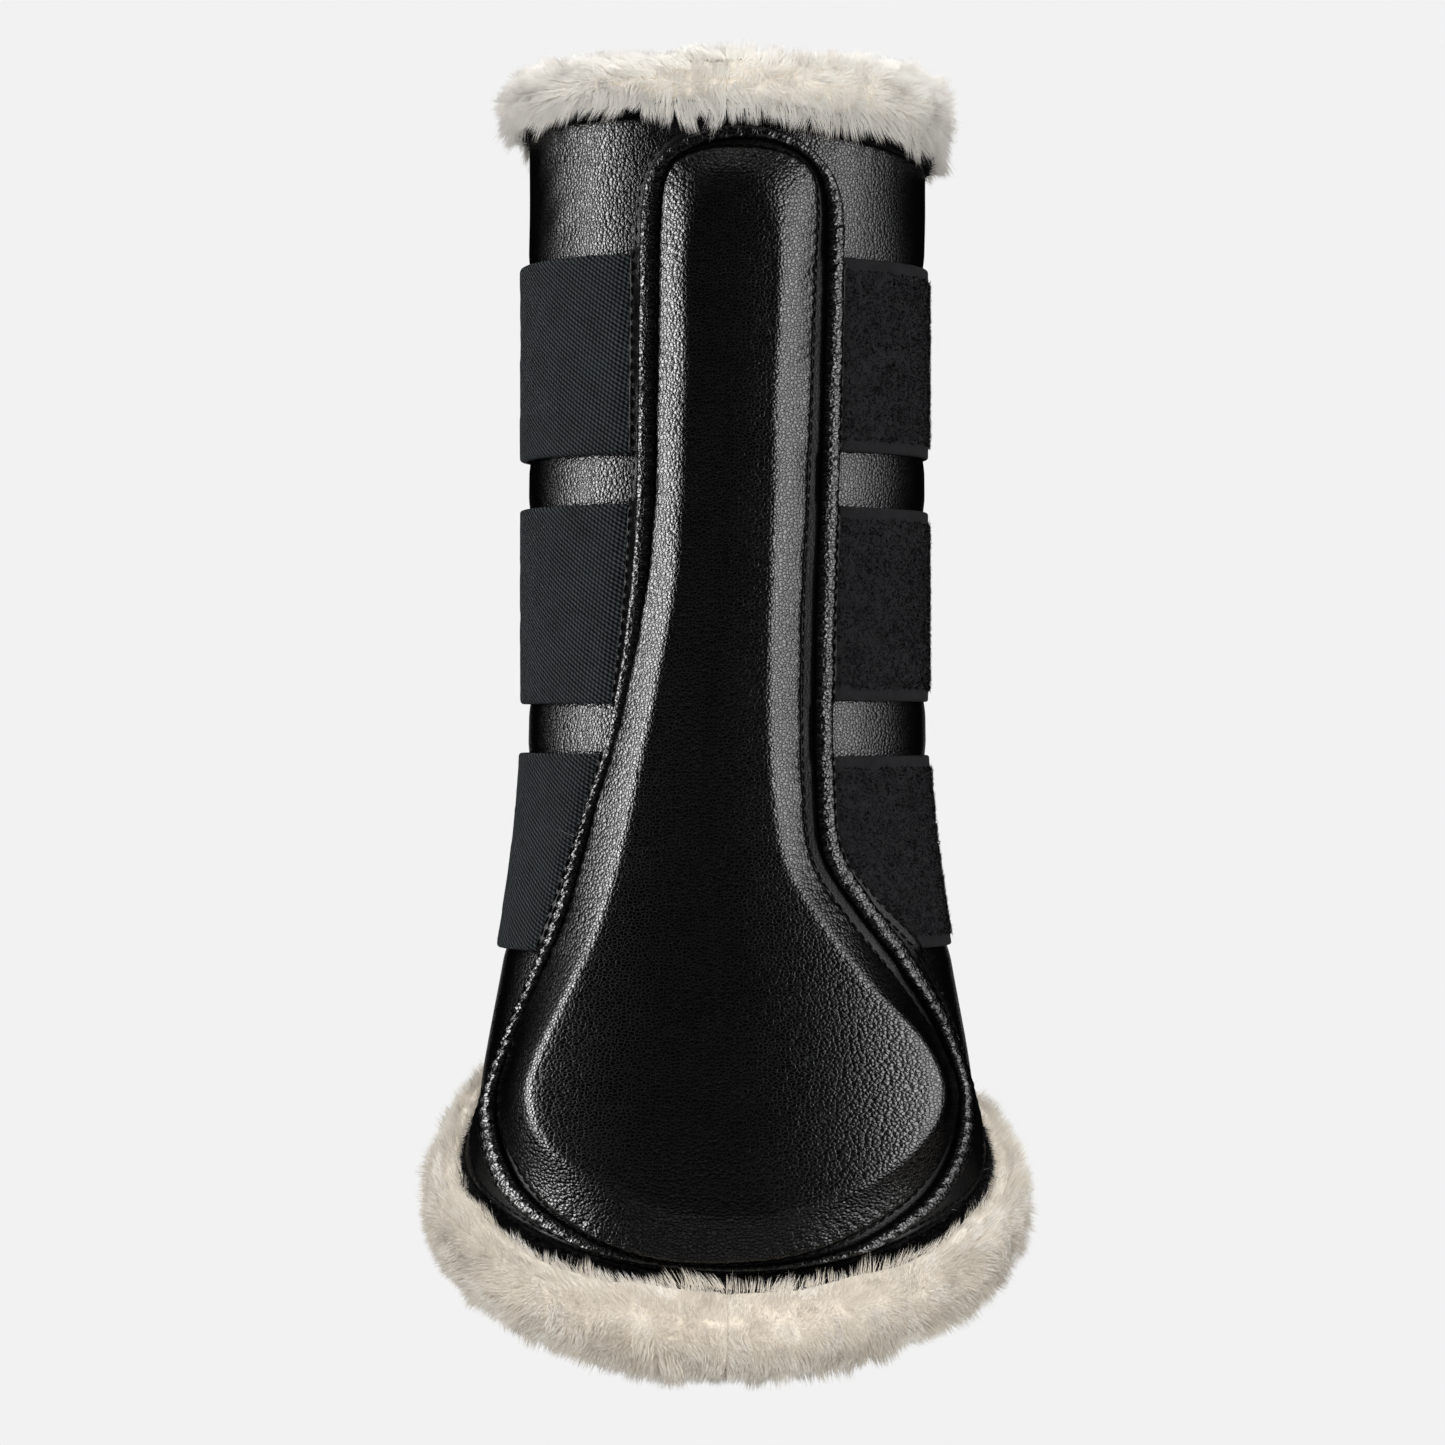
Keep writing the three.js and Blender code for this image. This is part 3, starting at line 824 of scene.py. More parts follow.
def stack_rings(name, pairs, material):
    """A body from rings of (line, depth) pairs round the pad."""
    made = [pad_points(line, depth + 0 * line[:, 0]) for line, depth in pairs]
    rings, flats = [m[0][::-1] for m in made], [m[1][::-1] for m in made]
    return swept(name, rings, material, flats, closed=False)


spine_z, spine_u = np.array(SPINE, float).T


def to_spine(share):
    """A line that far from the plateau's edge to the pad's middle."""
    z = np.clip(plateau_line[:, 1], spine_z[0], spine_z[-1])
    spine = np.stack([np.interp(z, spine_z, spine_u), z], -1)
    return plateau_line * (1 - share) + spine * share


lift = strap_lift(flange_line[:, 1])
edge_low = 0.3 + 1.5 * lift
ripple = 0.16 * noise(pad_arc / 2.5, 0, 31) + 0.2 * noise(pad_arc / 9, 0, 32)
flange_pairs = [(to_spine(0.5), 1.9), (plateau_line, 1.9), (foot_line, 1.7)]
for mm, height in ((2.2, 0.6), (0.8, 0.1), (0.1, 0.0), (0.0, 0.35)):
    flange_pairs.append((toward(flange_line, foot_line, mm * border_share), edge_low + height))
upper = (0.05, 0.95), (0.2, 1.18), (0.5, 1.27), (1.0, 1.3), (1.6, 1.25), (2.2, 1.1), (3.0, 1.2)
for mm, height in upper:
    rise = edge_low + height + ripple * (0.2 < mm < 2.2) + 0.25 * mm * (1 - lift)
    flange_pairs.append((toward(flange_line, foot_line, mm * border_share), rise))
flange_pairs += [(foot_line, 3.0), (plateau_line, 3.0), (to_spine(0.5), 3.0)]
pad_flange = stack_rings("flange", flange_pairs, flange_leather)
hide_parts("pad_flange")
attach(pad_flange, "front")

# The border band is puffed between its two seams, and puckers at every stitch.
SECTION = 18
section = np.arange(SECTION) * 2 * math.pi / SECTION
band_centre = border_gap * (0.34 + 0.26 * smooth((foot_line[:, 0] + 10) / 20)) / border_share
band_centre = np.clip(band_centre, 2.0, 4.7)
band_half = 1.95 + 0.35 * smooth((-10 - foot_line[:, 0]) / 10)
by_stitch = np.cos(2 * math.pi * pad_arc / STITCH_PITCH)
pucker = 1 + 0.08 * by_stitch + 0.1 * noise(pad_arc / 3.4, 0, 41)
droop = 1 + 0.12 * noise(pad_arc / 12, 0, 42)
band_rings, band_flats = [], []
for q in section:
    c, s = (math.copysign(abs(v) ** 0.75, v) for v in (math.cos(q), math.sin(q)))
    across = band_centre * border_share + band_half * border_share * c
    line = toward(foot_line, flange_line, across)
    rise = 3.1 + (1.7 if s > 0 else 0.6) * s * border_share**0.6 * pucker * droop
    point, flat = pad_points(line, rise)
    band_rings.append(point)
    band_flats.append(flat)
pad_border = swept("border_band", band_rings, pad_leather, band_flats, closed=True)
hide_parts("pad_border")
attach(pad_border, "front")

# The moulded cover: a sloping side all round a plateau, hollow over its foam core.
COVER_FOOT, COVER_TOP, COVER_WALL = 3.5, 8.3, 1.55
COVER_FLATTENING = 0.0055  # how much flatter than the shell the plateau is
BEND_SHARE = 0.9  # how far up the slope it bends into the plateau


def plateau_depth(line):
    """The plateau is flatter than the boot, and lower where it's wide."""
    sunk = COVER_TOP - smooth(-line[:, 1] / 50)
    return sunk + COVER_FLATTENING * line[:, 0] ** 2


slope_width = np.linalg.norm(plateau_line - foot_line, axis=1)
seam_pucker = 0.16 * by_stitch + 0.3 * noise(pad_arc / 4.2, 0, 51)
waver = 0.25 * noise(pad_arc / 16, 0, 52)
cover_rise = plateau_depth(plateau_line) - COVER_FOOT - COVER_WALL
bend_width = 0.9 + 1.6 * smooth((plateau_line[:, 1] - 94) / 8)
cover_pairs = [(to_spine(0.9), 4.0), (to_spine(0.4), 4.0), (plateau_line, 4.0)]
cover_pairs += [(toward(foot_line, plateau_line, 2.0), 3.6), (foot_line, COVER_FOOT)]
slope_shares = [0.02, 0.05, 0.09, 0.14, 0.2, 0.3, 0.4, 0.5, 0.6, 0.7]
slope_shares += [0.78, 0.84, 0.88, 0.91, 0.94, 0.97, 1.0]
for share in slope_shares:
    x = share * slope_width
    wall = COVER_WALL * np.sqrt(np.clip(1 - (1 - np.clip(x / 1.1, 0, 1)) ** 2, 0, 1))
    rise = cover_rise * min(share / BEND_SHARE, 1)
    near_bend = np.clip(bend_width - np.abs(x - BEND_SHARE * slope_width), 0, None)
    bend = cover_rise / (BEND_SHARE * slope_width) * near_bend**2 / (4 * bend_width)
    height = COVER_FOOT + wall + rise - bend + seam_pucker * np.exp(-x / 1.8)
    height = height + waver * math.sin(math.pi * share)
    cover_pairs.append((toward(foot_line, plateau_line, x), height))
for share in (0.06, 0.14, 0.25, 0.4, 0.6, 0.8, 0.93):
    line = to_spine(share)
    cover_pairs.append((line, plateau_depth(line) + 0.12 * smooth(share * 1.6)))
pad_cover = stack_rings("cover", cover_pairs, pad_leather)
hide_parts("pad_cover", "pad_core")
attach(pad_cover, "front")


# ---- Sewing ----


def stitches(name, path, outward, seed, closed=True):
    """Short capsules of thread laid end to end along a path, in metres."""
    ahead = np.roll(path, -1, 0)
    steps = np.linalg.norm(ahead - path, axis=1)
    if not closed:
        steps = steps[:-1]
    place = np.concatenate([[0], np.cumsum(steps)])
    count = max(1, int(place[-1] / (STITCH_PITCH * MM)))
    wanted = (np.arange(count) + 0.5) * place[-1] / count
    source = np.concatenate([path, path[:1]]) if closed else path
    normals = np.concatenate([outward, outward[:1]]) if closed else outward

    def at(where, values):
        return np.stack([np.interp(where, place, values[:, k]) for k in range(3)], -1)

    centre, up = at(wanted, source), unit(at(wanted, normals))
    step = 0.3 * STITCH_PITCH * MM
    after = at(np.minimum(wanted + step, place[-1]), source)
    along = unit(after - at(np.maximum(wanted - step, 0), source))
    across = unit(np.cross(up, along))
    draw = np.random.default_rng(seed)
    turn = draw.uniform(-0.12, 0.12, count)[:, None]
    along = unit(along + across * turn)
    across = np.cross(up, along)
    half = STITCH_PITCH * (1 - STITCH_GAP) / 2
    profile = [(-1, 0.25), (-0.88, 0.72), (-0.55, 1), (0, 1.05), (0.55, 1), (0.88, 0.72), (1, 0.25)]
    corner = np.arange(6) * math.pi / 3
    rings = []
    for x, r in profile:
        bow = (1 - x * x) * THREAD_RADIUS * 1.1 - THREAD_RADIUS * 0.6
        spot = centre + along * (x * half * MM) + up * (bow * MM)
        ring = across[:, None] * np.cos(corner)[:, None] + up[:, None] * np.sin(corner)[:, None]
        rings.append(spot[:, None] + ring * (r * THREAD_RADIUS * MM))
    points = np.stack(rings, 1)  # stitch, ring, corner
    each = points.shape[1] * 6
    base = np.arange(count)[:, None, None] * each
    four = (quads(len(profile), 6, False, True)[None][:, :, ::-1] + base).reshape(-1, 4)
    caps = np.array([np.arange(6), np.arange(6)[::-1] + each - 6])
    six = (caps[None] + base).reshape(-1, 6)
    return build_mesh(name, points, [four, six], thread)


def pad_seam(name, line, depth, seed):
    points, _ = pad_points(line, depth)
    outward, _ = directions(FRONT + line[:, 0] / FRONT_MM_PER_DEGREE)
    seam = stitches(name, points, outward, seed)
    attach(seam, "front")


line = toward(flange_line, foot_line, 0.75 * border_share)
pad_seam("seam_flange", line, edge_low + 1.35 + ripple * 0.6, 61)
line = toward(flange_line, foot_line, 2.45 * border_share)
pad_seam("seam_outer", line, edge_low + 1.3 + 0.6 * (1 - lift), 62)
pad_seam("seam_inner", toward(foot_line, flange_line, 0.35 * border_share), 3.75, 63)

# Loose ends of thread stand out along the pad's edge. About half are pale grey, as a painted glint
# on the black thread.
draw = np.random.default_rng(64)
count = 46
spots = draw.integers(0, AROUND, count)
line = toward(flange_line, foot_line, 0.6 * border_share)[spots]
roots, _ = pad_points(line, (edge_low + 1.35)[spots])
tips, _ = pad_points(line + draw.normal(size=(count, 2)), (edge_low + 2.6)[spots])
curls = 0.9 * MM * draw.normal(size=(count, 3))
sizes = draw.uniform(0.5, 1.5, count) * MM, np.full(count, 0.075 * MM)
shade = draw.integers(0, 2, count)
threads = [thread, painted_glint_thread], (shade, shade)
ends = strands("thread_ends", roots, tips - roots, curls, *sizes, *threads, rings=5)
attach(ends, "front")


# ---- Straps, pile patches and closure ----


def strap_grid(low, high, first, last, column_step):
    """A grid over a strap from one angle to another, which may be a function of height."""
    z = spaced(low, high, 1.0, 0.9)[:, None]
    end = last(z) if callable(last) else last + 0 * z
    widest = float(np.max(end) - first)
    u = spaced(0, 1, column_step / widest, 0.8 / widest)[None, :]
    return first + (end - first) * u, z + 0 * u


PAD_WIDEST = -94  # below this height the pad's edge turns in
PILE_END = 101.4  # angle where the pile patches end at the closure
HOOK_START, HOOK_END = 43.2, 84  # angles the hook tapes lie between
PILE_TOP, PILE_SELVEDGE = 0.75, 2.4


def pad_edge_angle(side, z, under):
    """Angle of the pad's edge at a height, moved in under the pad by under."""
    half = flange_line[:, 0] < 0 if side == "left" else flange_line[:, 0] > 0
    body = half & (flange_line[:, 1] > PAD_WIDEST)
    order = np.argsort(flange_line[body, 1])
    u = np.interp(z, flange_line[body, 1][order], flange_line[body, 0][order])
    u = u + under if side == "left" else u - under
    return FRONT + u / FRONT_MM_PER_DEGREE - (0 if side == "left" else WHOLE)


for index, row in enumerate(ROWS):
    low, high = heights(f"strap_{row}_side")
    centre = (low + high) / 2
    end_body = f"{row}_strap_end"

    # The elastic from the closure round the left to under the pad.
    def under_pad(z):
        return pad_edge_angle("left", z, 1.6)

    angle, z = strap_grid(low, high, TAIL_START + 0.15, under_pad, 1.2)
    pinch = smooth((angle - (pad_edge_angle("left", z, 0) - 5)) / 5)
    wave = 0.06 * noise(angle / 9, z / 12, 70 + index)
    wave = wave + 0.125 * noise(angle / 14, 0 * z, 76 + index)
    inner = STRAP_DEPTH * (1 - 0.7 * pinch) + 0.1 + wave
    outer = inner + ELASTIC * (1 - 0.25 * pinch) + 0.1 * noise(angle / 2, z / 2, 73)
    outer = outer - 0.7 * both_edges(z, low, high, 0.8)
    strap = slab(f"strap_{row}", angle, z, outer, inner, elastic)
    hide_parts(f"strap_{row}_front", f"strap_{row}_side")
    ride_fold(strap)

    # Its tail lies over the pile patch.
    angle, z = strap_grid(low, high, TAIL_TIP, TAIL_START, 1.0)
    inner = TAIL_DEPTH + (STRAP_DEPTH + 0.1 - TAIL_DEPTH) * smooth((angle - 92) / 16)
    outer = inner + ELASTIC + 0.1 * noise(angle / 9, z / 12, 80 + index)
    outer = outer - 0.7 * both_edges(z, low, high, 0.8)
    tail = slab(f"strap_{row}_end", angle, z, outer, inner, elastic)
    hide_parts(f"strap_{row}_tail")
    bend_from = on_boot(TAIL_START, centre, 2).tolist()
    bend_to = on_boot(TAIL_START - 6, centre, 2).tolist()
    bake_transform(tail)

    # A leather tab is folded over the tail's tip and box-stitched.
    tab_low, tab_high = heights(f"strap_{row}_tab")
    z = spaced(tab_low, tab_high, 1.2, 1.4)[:, None]
    angle = spaced(TAB_TIP, TAIL_TIP - 0.2, 0.8, 1.2)[None, :]
    to_corner = np.clip(np.abs(z - centre) / 20.5, 0, 1) ** 6
    tip_round = 2.2 * (1 - np.sqrt(np.clip(1 - to_corner, 0, 1)))
    angle = angle + tip_round * (1 - (angle - TAB_TIP) / (TAIL_TIP - TAB_TIP))
    depth = both_edges(z, tab_low, tab_high, 1.0)
    depth = depth + rounding((angle - angle.min(axis=1, keepdims=True)) * 0.8, 1.0)
    tab_top = TAIL_DEPTH + 2.2
    tab_outer, tab_inner = tab_top - 0.8 * depth, TAIL_DEPTH + 0.1 + 0.3 * depth
    tab = slab(f"strap_{row}_tab", angle, z, tab_outer, tab_inner, edge_leather)
    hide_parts(f"strap_{row}_tab")
    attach(tab, end_body)

    box_start, box_end = TAB_TIP + 1.7, TAIL_TIP - 1.3
    walk = np.linspace(0, 4, 240, endpoint=False)
    path_angle = np.interp(walk, range(5), [box_start, box_end, box_end, box_start, box_start])
    box_low, box_high = tab_low + 2, tab_high - 2
    path_z = np.interp(walk, range(5), [box_low, box_low, box_high, box_high, box_low])
    path = on_boot(path_angle, path_z, tab_top - 0.03)
    seam = stitches(f"seam_tab_{row}", path, unit(path * [1, 1, 0]), 103 + index)
    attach(seam, end_body)

    # The hook tape under the tail, with its hooks.
    hook_low, hook_high = heights(f"strap_{row}_hook")
    z = spaced(hook_low, hook_high, 1.5, 0.5)[:, None]
    angle = spaced(HOOK_START, HOOK_END, 1.5, 0.6)[None, :]
    hook_outer = TAIL_DEPTH - GAP
    tape = slab(f"hook_{row}", angle, z, hook_outer, hook_outer - 0.6, hook_plastic)
    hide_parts(f"strap_{row}_hook")
    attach(tape, end_body)
    draw = np.random.default_rng(106 + index)
    count = HOOKS
    hook_z = draw.uniform(hook_low + 0.6, hook_high - 0.6, count)
    hook_angle = draw.uniform(HOOK_START + 0.6, HOOK_END - 0.6, count)
    roots = on_boot(hook_angle, hook_z, hook_outer - 0.5)
    inward = unit(on_boot(hook_angle, hook_z, 0) - roots)
    bends = np.array([0, 0, 0.4 * MM]) * draw.choice([-1, 1], count)[:, None]
    bends = bends - inward * 0.25 * MM
    sizes = np.full(count, 0.8 * MM), np.full(count, 0.09 * MM)
    shade = np.zeros(count, int), np.zeros(count, int)
    hooks = strands(f"hooks_{row}", roots, inward, bends, *sizes, [plain_hook], shade, rings=3)
    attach(hooks, end_body)

    # The pile patch on the right, sewn in under the pad, with a flat selvedge each side.
    pile_low, pile_high = heights(f"pile_{row}_side")
    z = spaced(pile_low, pile_high, 1.0, 0.7)[:, None]
    first = pad_edge_angle("right", z, 1.4)
    share = spaced(0, 1, 1.2 / 160, 0.8 / 160)[None, :]
    angle = first + (PILE_END - first) * share
    z = z + 0 * angle
    edge = np.minimum(z - pile_low, pile_high - z)
    pinch = smooth(1 - (angle - first) / 5)
    inner = 0.55 * (1 - 0.6 * pinch) + 0 * z
    inside_selvedge = smooth((edge - PILE_SELVEDGE + 0.2) / 0.8)
    outer = inner + PILE_TOP + 0.2 * inside_selvedge * (1 - pinch) - rounding(edge, 0.5) * 0.5
    patch = slab(f"pile_{row}", angle, z, outer, inner, backing_black)
    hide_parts(f"pile_{row}_front", f"pile_{row}_side")
    ride_fold(patch)

    # Its pile: short curled loops of fibre.
    draw = np.random.default_rng(90 + index)
    count = PILE_LOOPS
    root_z = draw.uniform(pile_low + PILE_SELVEDGE, pile_high - PILE_SELVEDGE, count)
    start = pad_edge_angle("right", root_z, -0.9)
    root_angle = start + (PILE_END - 0.8 - start) * draw.uniform(0, 1, count)
    clump = 0.35 * noise(root_angle / 1.4, root_z / 1.1, 95)
    roots = on_boot(root_angle, root_z, 1.35)
    normal = unit(on_boot(root_angle, root_z, 5) - roots)
    random_way = unit(draw.normal(size=(count, 3)))
    sideways = unit(random_way - normal * np.sum(random_way * normal, 1, keepdims=True))
    length = draw.uniform(0.7, 1.25, count) * (1 + clump)
    ways = normal + sideways * draw.uniform(0.2, 0.7, count)[:, None]
    curl = np.cross(sideways, normal) * draw.uniform(-0.9, 0.9, count)[:, None]
    bends = (sideways * 0.35 + curl - normal * 0.35) * (length * MM)[:, None]
    light = draw.integers(0, 2, count)
    sizes, shade = (length * MM, np.full(count, 0.11 * MM)), (light * 0, light)
    fur = strands(f"pile_loops_{row}", roots, ways, bends, *sizes, pile_fibre, shade)
    ride_fold(fur)

# A strip of leather is folded over each closure edge.
EDGE_BINDING = 1.6  # its width in degrees
for side, first in (("left", 108.7), ("right", 105.7 + WHOLE)):
    last = first + EDGE_BINDING
    angle = spaced(first, last, 0.3, 0.5)[None, :]
    v = spaced(0, 1, 1.5 / WALL_HEIGHT, 1 / WALL_HEIGHT)[:, None]
    low = bottom_edge(angle) + LOW_MARGIN
    high = top_edge(angle) - HIGH_MARGIN
    z = low + (high - low) * v
    middle, half = (first + last) / 2, EDGE_BINDING / 2
    bow = np.sqrt(np.clip(1 - ((angle - middle) / half) ** 2, 0, 1))
    outer = -0.9 + 1.3 * bow - both_edges(z, low, high, 1)
    outer = outer + 0.12 * noise(z / 2.5, 0 * z, 101)
    inner = -LEATHER - FOAM - 0.2
    binding = slab(f"edge_binding_{side}", angle, z, outer, inner, edge_leather)
    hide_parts(f"{side}_edge_binding")
    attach(binding, f"{side}_wing")
    line = np.linspace(float(bottom_edge(first)) + 5, float(top_edge(first)) - 3, 300)
    seam_angle = last + EDGE_BINDING if side == "left" else first - EDGE_BINDING
    path = on_boot(seam_angle, line, leather_surface(seam_angle + 0 * line, line) + 0.05)
    outward = unit(path * [1, 1, 0])
    seam = stitches(f"seam_edge_{side}", path, outward, 102, closed=False)
    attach(seam, f"{side}_wing")


# ---- Sheepskin rolls and pile bindings ----

ROLLS = {
    # name: inside depth, outside depth, height function of the low and high side
    "top": (-13.2, 6.7, lambda a: top_edge(a) + 3.2, lambda a: CREST + 1.2 + 0 * a),
    "bottom": (-12.2, 10.0, lambda a: bottom_edge(a) - 17.5, lambda a: bottom_edge(a) - 0.3),
}
ROLL_SKIN = 2.4  # how far the roll's skin lies inside the fleece's outline
ROLL_SQUARENESS = 0.86  # 1 is round, and less is squarer
TOP_OVERHANG = 4.5  # how far the top roll hangs down past the wall's edge
BOTTOM_OVERLAP = 3.5  # how far the bottom roll stands up past it


def edge_height(name, angle):
    return top_edge(angle) if name == "top" else bottom_edge(angle)


def roll_section(name, angle, turn, skin):
    """Depth and height at a turn round the roll's section, skin inside its outline."""
    inside, outside, low, high = ROLLS[name]
    centre_depth, half_depth = (inside + outside) / 2, (outside - inside) / 2 - skin
    lo, hi = low(angle), high(angle)
    centre_z, half_z = (lo + hi) / 2, (hi - lo) / 2 - skin * 0.75
    c, s = np.cos(turn), np.sin(turn)
    depth = centre_depth + half_depth * np.sign(c) * np.abs(c) ** ROLL_SQUARENESS
    z = centre_z + half_z * np.sign(s) * np.abs(s) ** ROLL_SQUARENESS
    spread = 1 + 0.3 * noise(angle / 11, 0 * angle, 114)
    sides = 1.6 * hill(angle % WHOLE, 158, 26) + 0.6 * hill(angle % WHOLE, 24, 22)
    clear_of_wall = smooth((depth - 0.3) / 3) + 0.8 * smooth((-9.5 - depth) / 2.5)
    if name == "top":
        z = z - TOP_OVERHANG * spread * clear_of_wall * (1 - s) / 2
    else:
        z = z + BOTTOM_OVERLAP * (spread + sides) * clear_of_wall * (1 + s) / 2
    return depth, z


def on_roll(name, angle, turn, skin):
    depth, z = roll_section(name, angle, turn, skin)
    radius = shell_radius(angle, edge_height(name, angle)) + depth
    a = np.radians(angle)
    return np.stack([radius * np.cos(a), radius * np.sin(a), z], -1) * MM


def fleece(name, side, part, sector, seed):
    """Tufted fibres on one sector of a roll."""
    draw = np.random.default_rng(seed)
    count = ROLL_FIBRES
    angle = draw.uniform(*sector, count)
    turn = draw.uniform(0, 2 * math.pi, count)
    # Few fibres are spent on the side that lies against the boot's wall.
    wall_side = -math.pi / 2 if name == "top" else math.pi / 2
    hidden = (np.cos(turn - wall_side) > 0.75) & (draw.uniform(0, 1, count) < 0.6)
    spare = wall_side + math.pi + draw.uniform(-2.3, 2.3, count)
    turn = np.where(hidden, spare, turn) % (2 * math.pi)
    # Tufts: each fibre leans to the nearest of the tufts' tips.
    rows = 18
    pitch = FLEECE_PITCH / 0.75
    cell_a, cell_t = angle / pitch, turn / (2 * math.pi) * rows
    jitter = np.random.default_rng(7).uniform(-0.45, 0.45, (512, rows, 2))
    mix = np.random.default_rng(8).uniform(0, 1, (512, rows))
    tuft_ways = np.random.default_rng(9).normal(size=(512, rows, 3))
    i, j = np.round(cell_a).astype(int), np.round(cell_t).astype(int)
    tuft = jitter[i % 512, j % rows]
    tuft_angle = (i + tuft[:, 0]) * pitch
    tuft_turn = (j + tuft[:, 1]) * 2 * math.pi / rows
    tuft_mix = mix[i % 512, j % rows]
    skin = ROLL_SKIN + 0.6 * noise(angle / 9, turn, 110)
    roots = on_roll(name, angle, turn, skin)
    crown = on_roll(name, tuft_angle, tuft_turn, -1.0 - 1.2 * tuft_mix)
    normal = unit(roots - on_roll(name, angle, turn, 8))
    outward, sideways = directions(angle)
    outer_face = smooth(0.5 + np.cos(turn))[:, None]
    if name == "top":
        fringe = smooth(0.3 - np.sin(turn))[:, None] * outer_face
        flow = np.array([0, 0, -1.0]) * fringe + outward * (0.25 - 0.3 * fringe)
    else:
        upper = smooth(np.sin(turn) * 2)[:, None]
        flow = np.array([0, 0, -0.55]) * outer_face * (1 - upper)
        flow = flow + np.array([0, 0, 0.5]) * upper * outer_face + outward * 0.15
    sweep = noise(angle / 14, turn * 1.3, 111)[:, None]
    length = draw.uniform(2.0, 3.3, count) * (1 + 0.25 * noise(angle / 4, turn * 3, 112))
    length = length * (1 + 0.35 * (tuft_mix - 0.5))
    if name == "top":
        length = length * (1 + 0.3 * fringe[:, 0] * (1 + 0.8 * noise(angle / 7, 0 * turn, 113)))
    stray = 0.09 * draw.normal(size=(count, 3))
    tuft_way = tuft_ways[i % 512, j % rows]
    own = unit(normal + 0.5 * flow + 0.35 * sideways * sweep + 0.14 * tuft_way + stray)
    to_tuft = unit(crown - roots)
    ways = unit(own * 0.9 + to_tuft * 0.25)
    lean = 0.5 * flow + 0.35 * sideways * sweep + 0.2 * tuft_way + 0.7 * stray
    bends = lean * (length * 0.5 * MM)[:, None]
    width = draw.uniform(0.065, 0.1, count) * MM
    # Painted light on the top roll and painted shade on the bottom one: the top roll's fibres get
    # the whiter tones and the bottom roll's get the warmer, darker ones. Tufts and chance also vary
    # the tone.
    painted_light_on_top = name == "top"
    tone_and_painted_shade = tuft_mix * 1.6 + draw.uniform(-0.5, 1.2, count) + (-0.9 if painted_light_on_top else 0.8)
    tip = 1 + np.clip(tone_and_painted_shade, 0, 2).astype(int)
    root = np.where(draw.uniform(0, 1, count) < 0.55, 2 if painted_light_on_top else 0, 1 if painted_light_on_top else 3)
    sizes, look = (length * MM, width), (fleece_fibre, (root, tip))
    piece = f"fleece_{name}_{side}_{part}"
    fur = strands(piece, roots, ways, bends, *sizes, *look, facing=normal)
    ride_fold(fur)


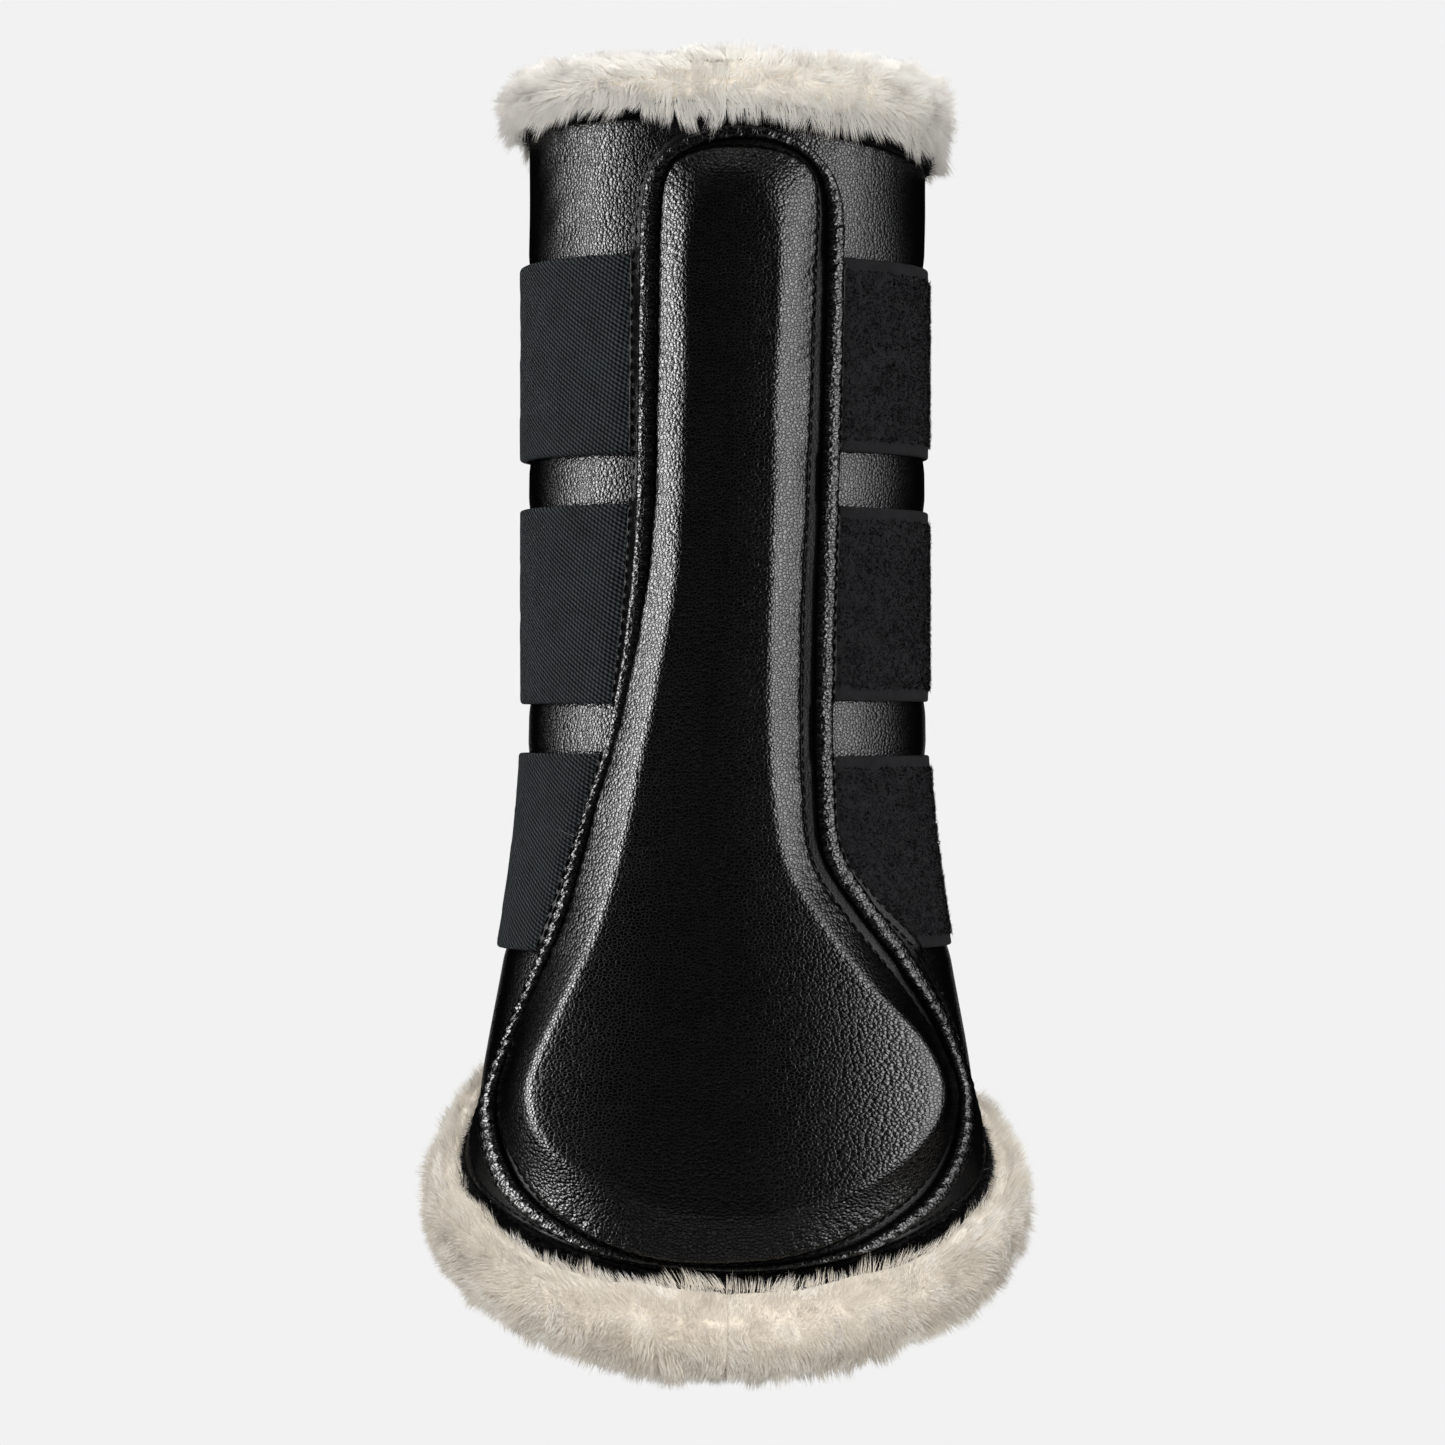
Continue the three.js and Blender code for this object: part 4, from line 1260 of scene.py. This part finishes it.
TURNS = 64
for name in ROLLS:
    for side in SIDES:
        first, last = side_span(side, SHEEPSKIN_ENDS)
        angle = np.linspace(first, last, 260)[:, None]
        turn = (np.arange(TURNS) * 2 * math.pi / TURNS)[None, :]
        lumps = 0.45 * noise(angle / 6, turn * 2, 120)
        lumps = lumps + 0.35 * noise(angle / 2.8, turn * 10 / math.pi, 121)
        ring = on_roll(name, angle + 0 * turn, turn + 0 * angle, ROLL_SKIN + 0.5 + 0.6 * lumps)
        # The end at the closure is drawn in to a rounded tip.
        middle = ring.mean(1, keepdims=True)
        distance = np.minimum(angle - angle[0], angle[-1] - angle) * 0.75
        closing = 1 - 0.999 * rounding(distance, 1.2)
        by_front = angle > 200 if side == "left" else angle < WHOLE
        closing = np.where(by_front, np.maximum(closing, 0.96), closing)
        ring = middle + (ring - middle) * closing[..., None]
        roll = swept(f"roll_{name}_{side}", ring, backing_cream, closed=False)
        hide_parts(f"{side}_{name}_collar", f"front_{name}_collar")
        ride_fold(roll)
        parts = 4 if name == "bottom" else 3
        edges = np.linspace(first, last, parts + 1)
        for part in range(parts):
            sector = edges[part], edges[part + 1]
            fleece(name, side, part + 1, sector, 200 + 10 * part + len(name) + len(side))
        draw = np.random.default_rng(118)
        end_turn = draw.uniform(0, 2 * math.pi, END_FIBRES)
        end = first + 1.5 if side == "left" else last - 1.5
        end_angle = end + 0 * end_turn
        skin = on_roll(name, end_angle, end_turn, ROLL_SKIN + 0.4)
        core = skin.mean(0)
        roots = core + (skin - core) * np.sqrt(draw.uniform(0, 1, END_FIBRES))[:, None]
        edge_fleece(f"fleece_{name}_end_{side}", side, roots, end_angle, 3.4, 119)


def fuzz(name, side, seed):
    """Short black pile over a binding."""
    draw = np.random.default_rng(seed)
    count = BINDING_FIBRES
    first, last = side_span(side, SHEEPSKIN_ENDS)
    angle = draw.uniform(first, last, count)
    share = draw.uniform(0, 1, count)
    z, depth = binding_place(name, angle, share)
    roots = on_boot(angle, z, depth)
    outward, _ = directions(angle)
    up = np.array([0, 0, 1.0 if name == "top" else -1.0])
    ways = outward * 0.7 + up * (0.35 + 0.5 * share[:, None]) + 0.35 * draw.normal(size=(count, 3))
    length = draw.uniform(1.3, 2.6, count)
    bends = (0.35 * up + 0.3 * draw.normal(size=(count, 3))) * (length * 0.5 * MM)[:, None]
    light = (draw.uniform(0, 1, count) < 0.3).astype(int)
    sizes, shade = (length * MM, np.full(count, 0.11 * MM)), (light * 0, light)
    fur = strands(f"fuzz_{name}_{side}", roots, ways, bends, *sizes, binding_fibre, shade)
    ride_fold(fur)


def binding_place(name, angle, share):
    """Height and depth of a binding's face, from the leather's edge to the sheepskin."""
    if name == "top":
        z = top_edge(angle) + BINDING_HEIGHT * share
    else:
        z = bottom_edge(angle) + BINDING_HEIGHT * (1 - share)
    return z, 0.4 + 0.5 * np.sin(math.pi * share)


for name in ROLLS:
    for side in SIDES:
        first, last = side_span(side, SHEEPSKIN_ENDS)
        angle = np.linspace(first, last, 150)[None, :]
        share = np.linspace(0, 1, 7)[:, None]
        if name == "bottom":
            share = share[::-1]
        z, depth = binding_place(name, angle, share)
        outer = depth + 0.15 * noise(angle / 2, share * 3, 130)
        band = slab(f"binding_{name}_{side}", angle, z, outer, -LEATHER - FOAM, backing_black)
        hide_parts(f"{side}_{name}_binding", f"front_{name}_binding")
        ride_fold(band)
        fuzz(name, side, 140 + len(name) + len(side))
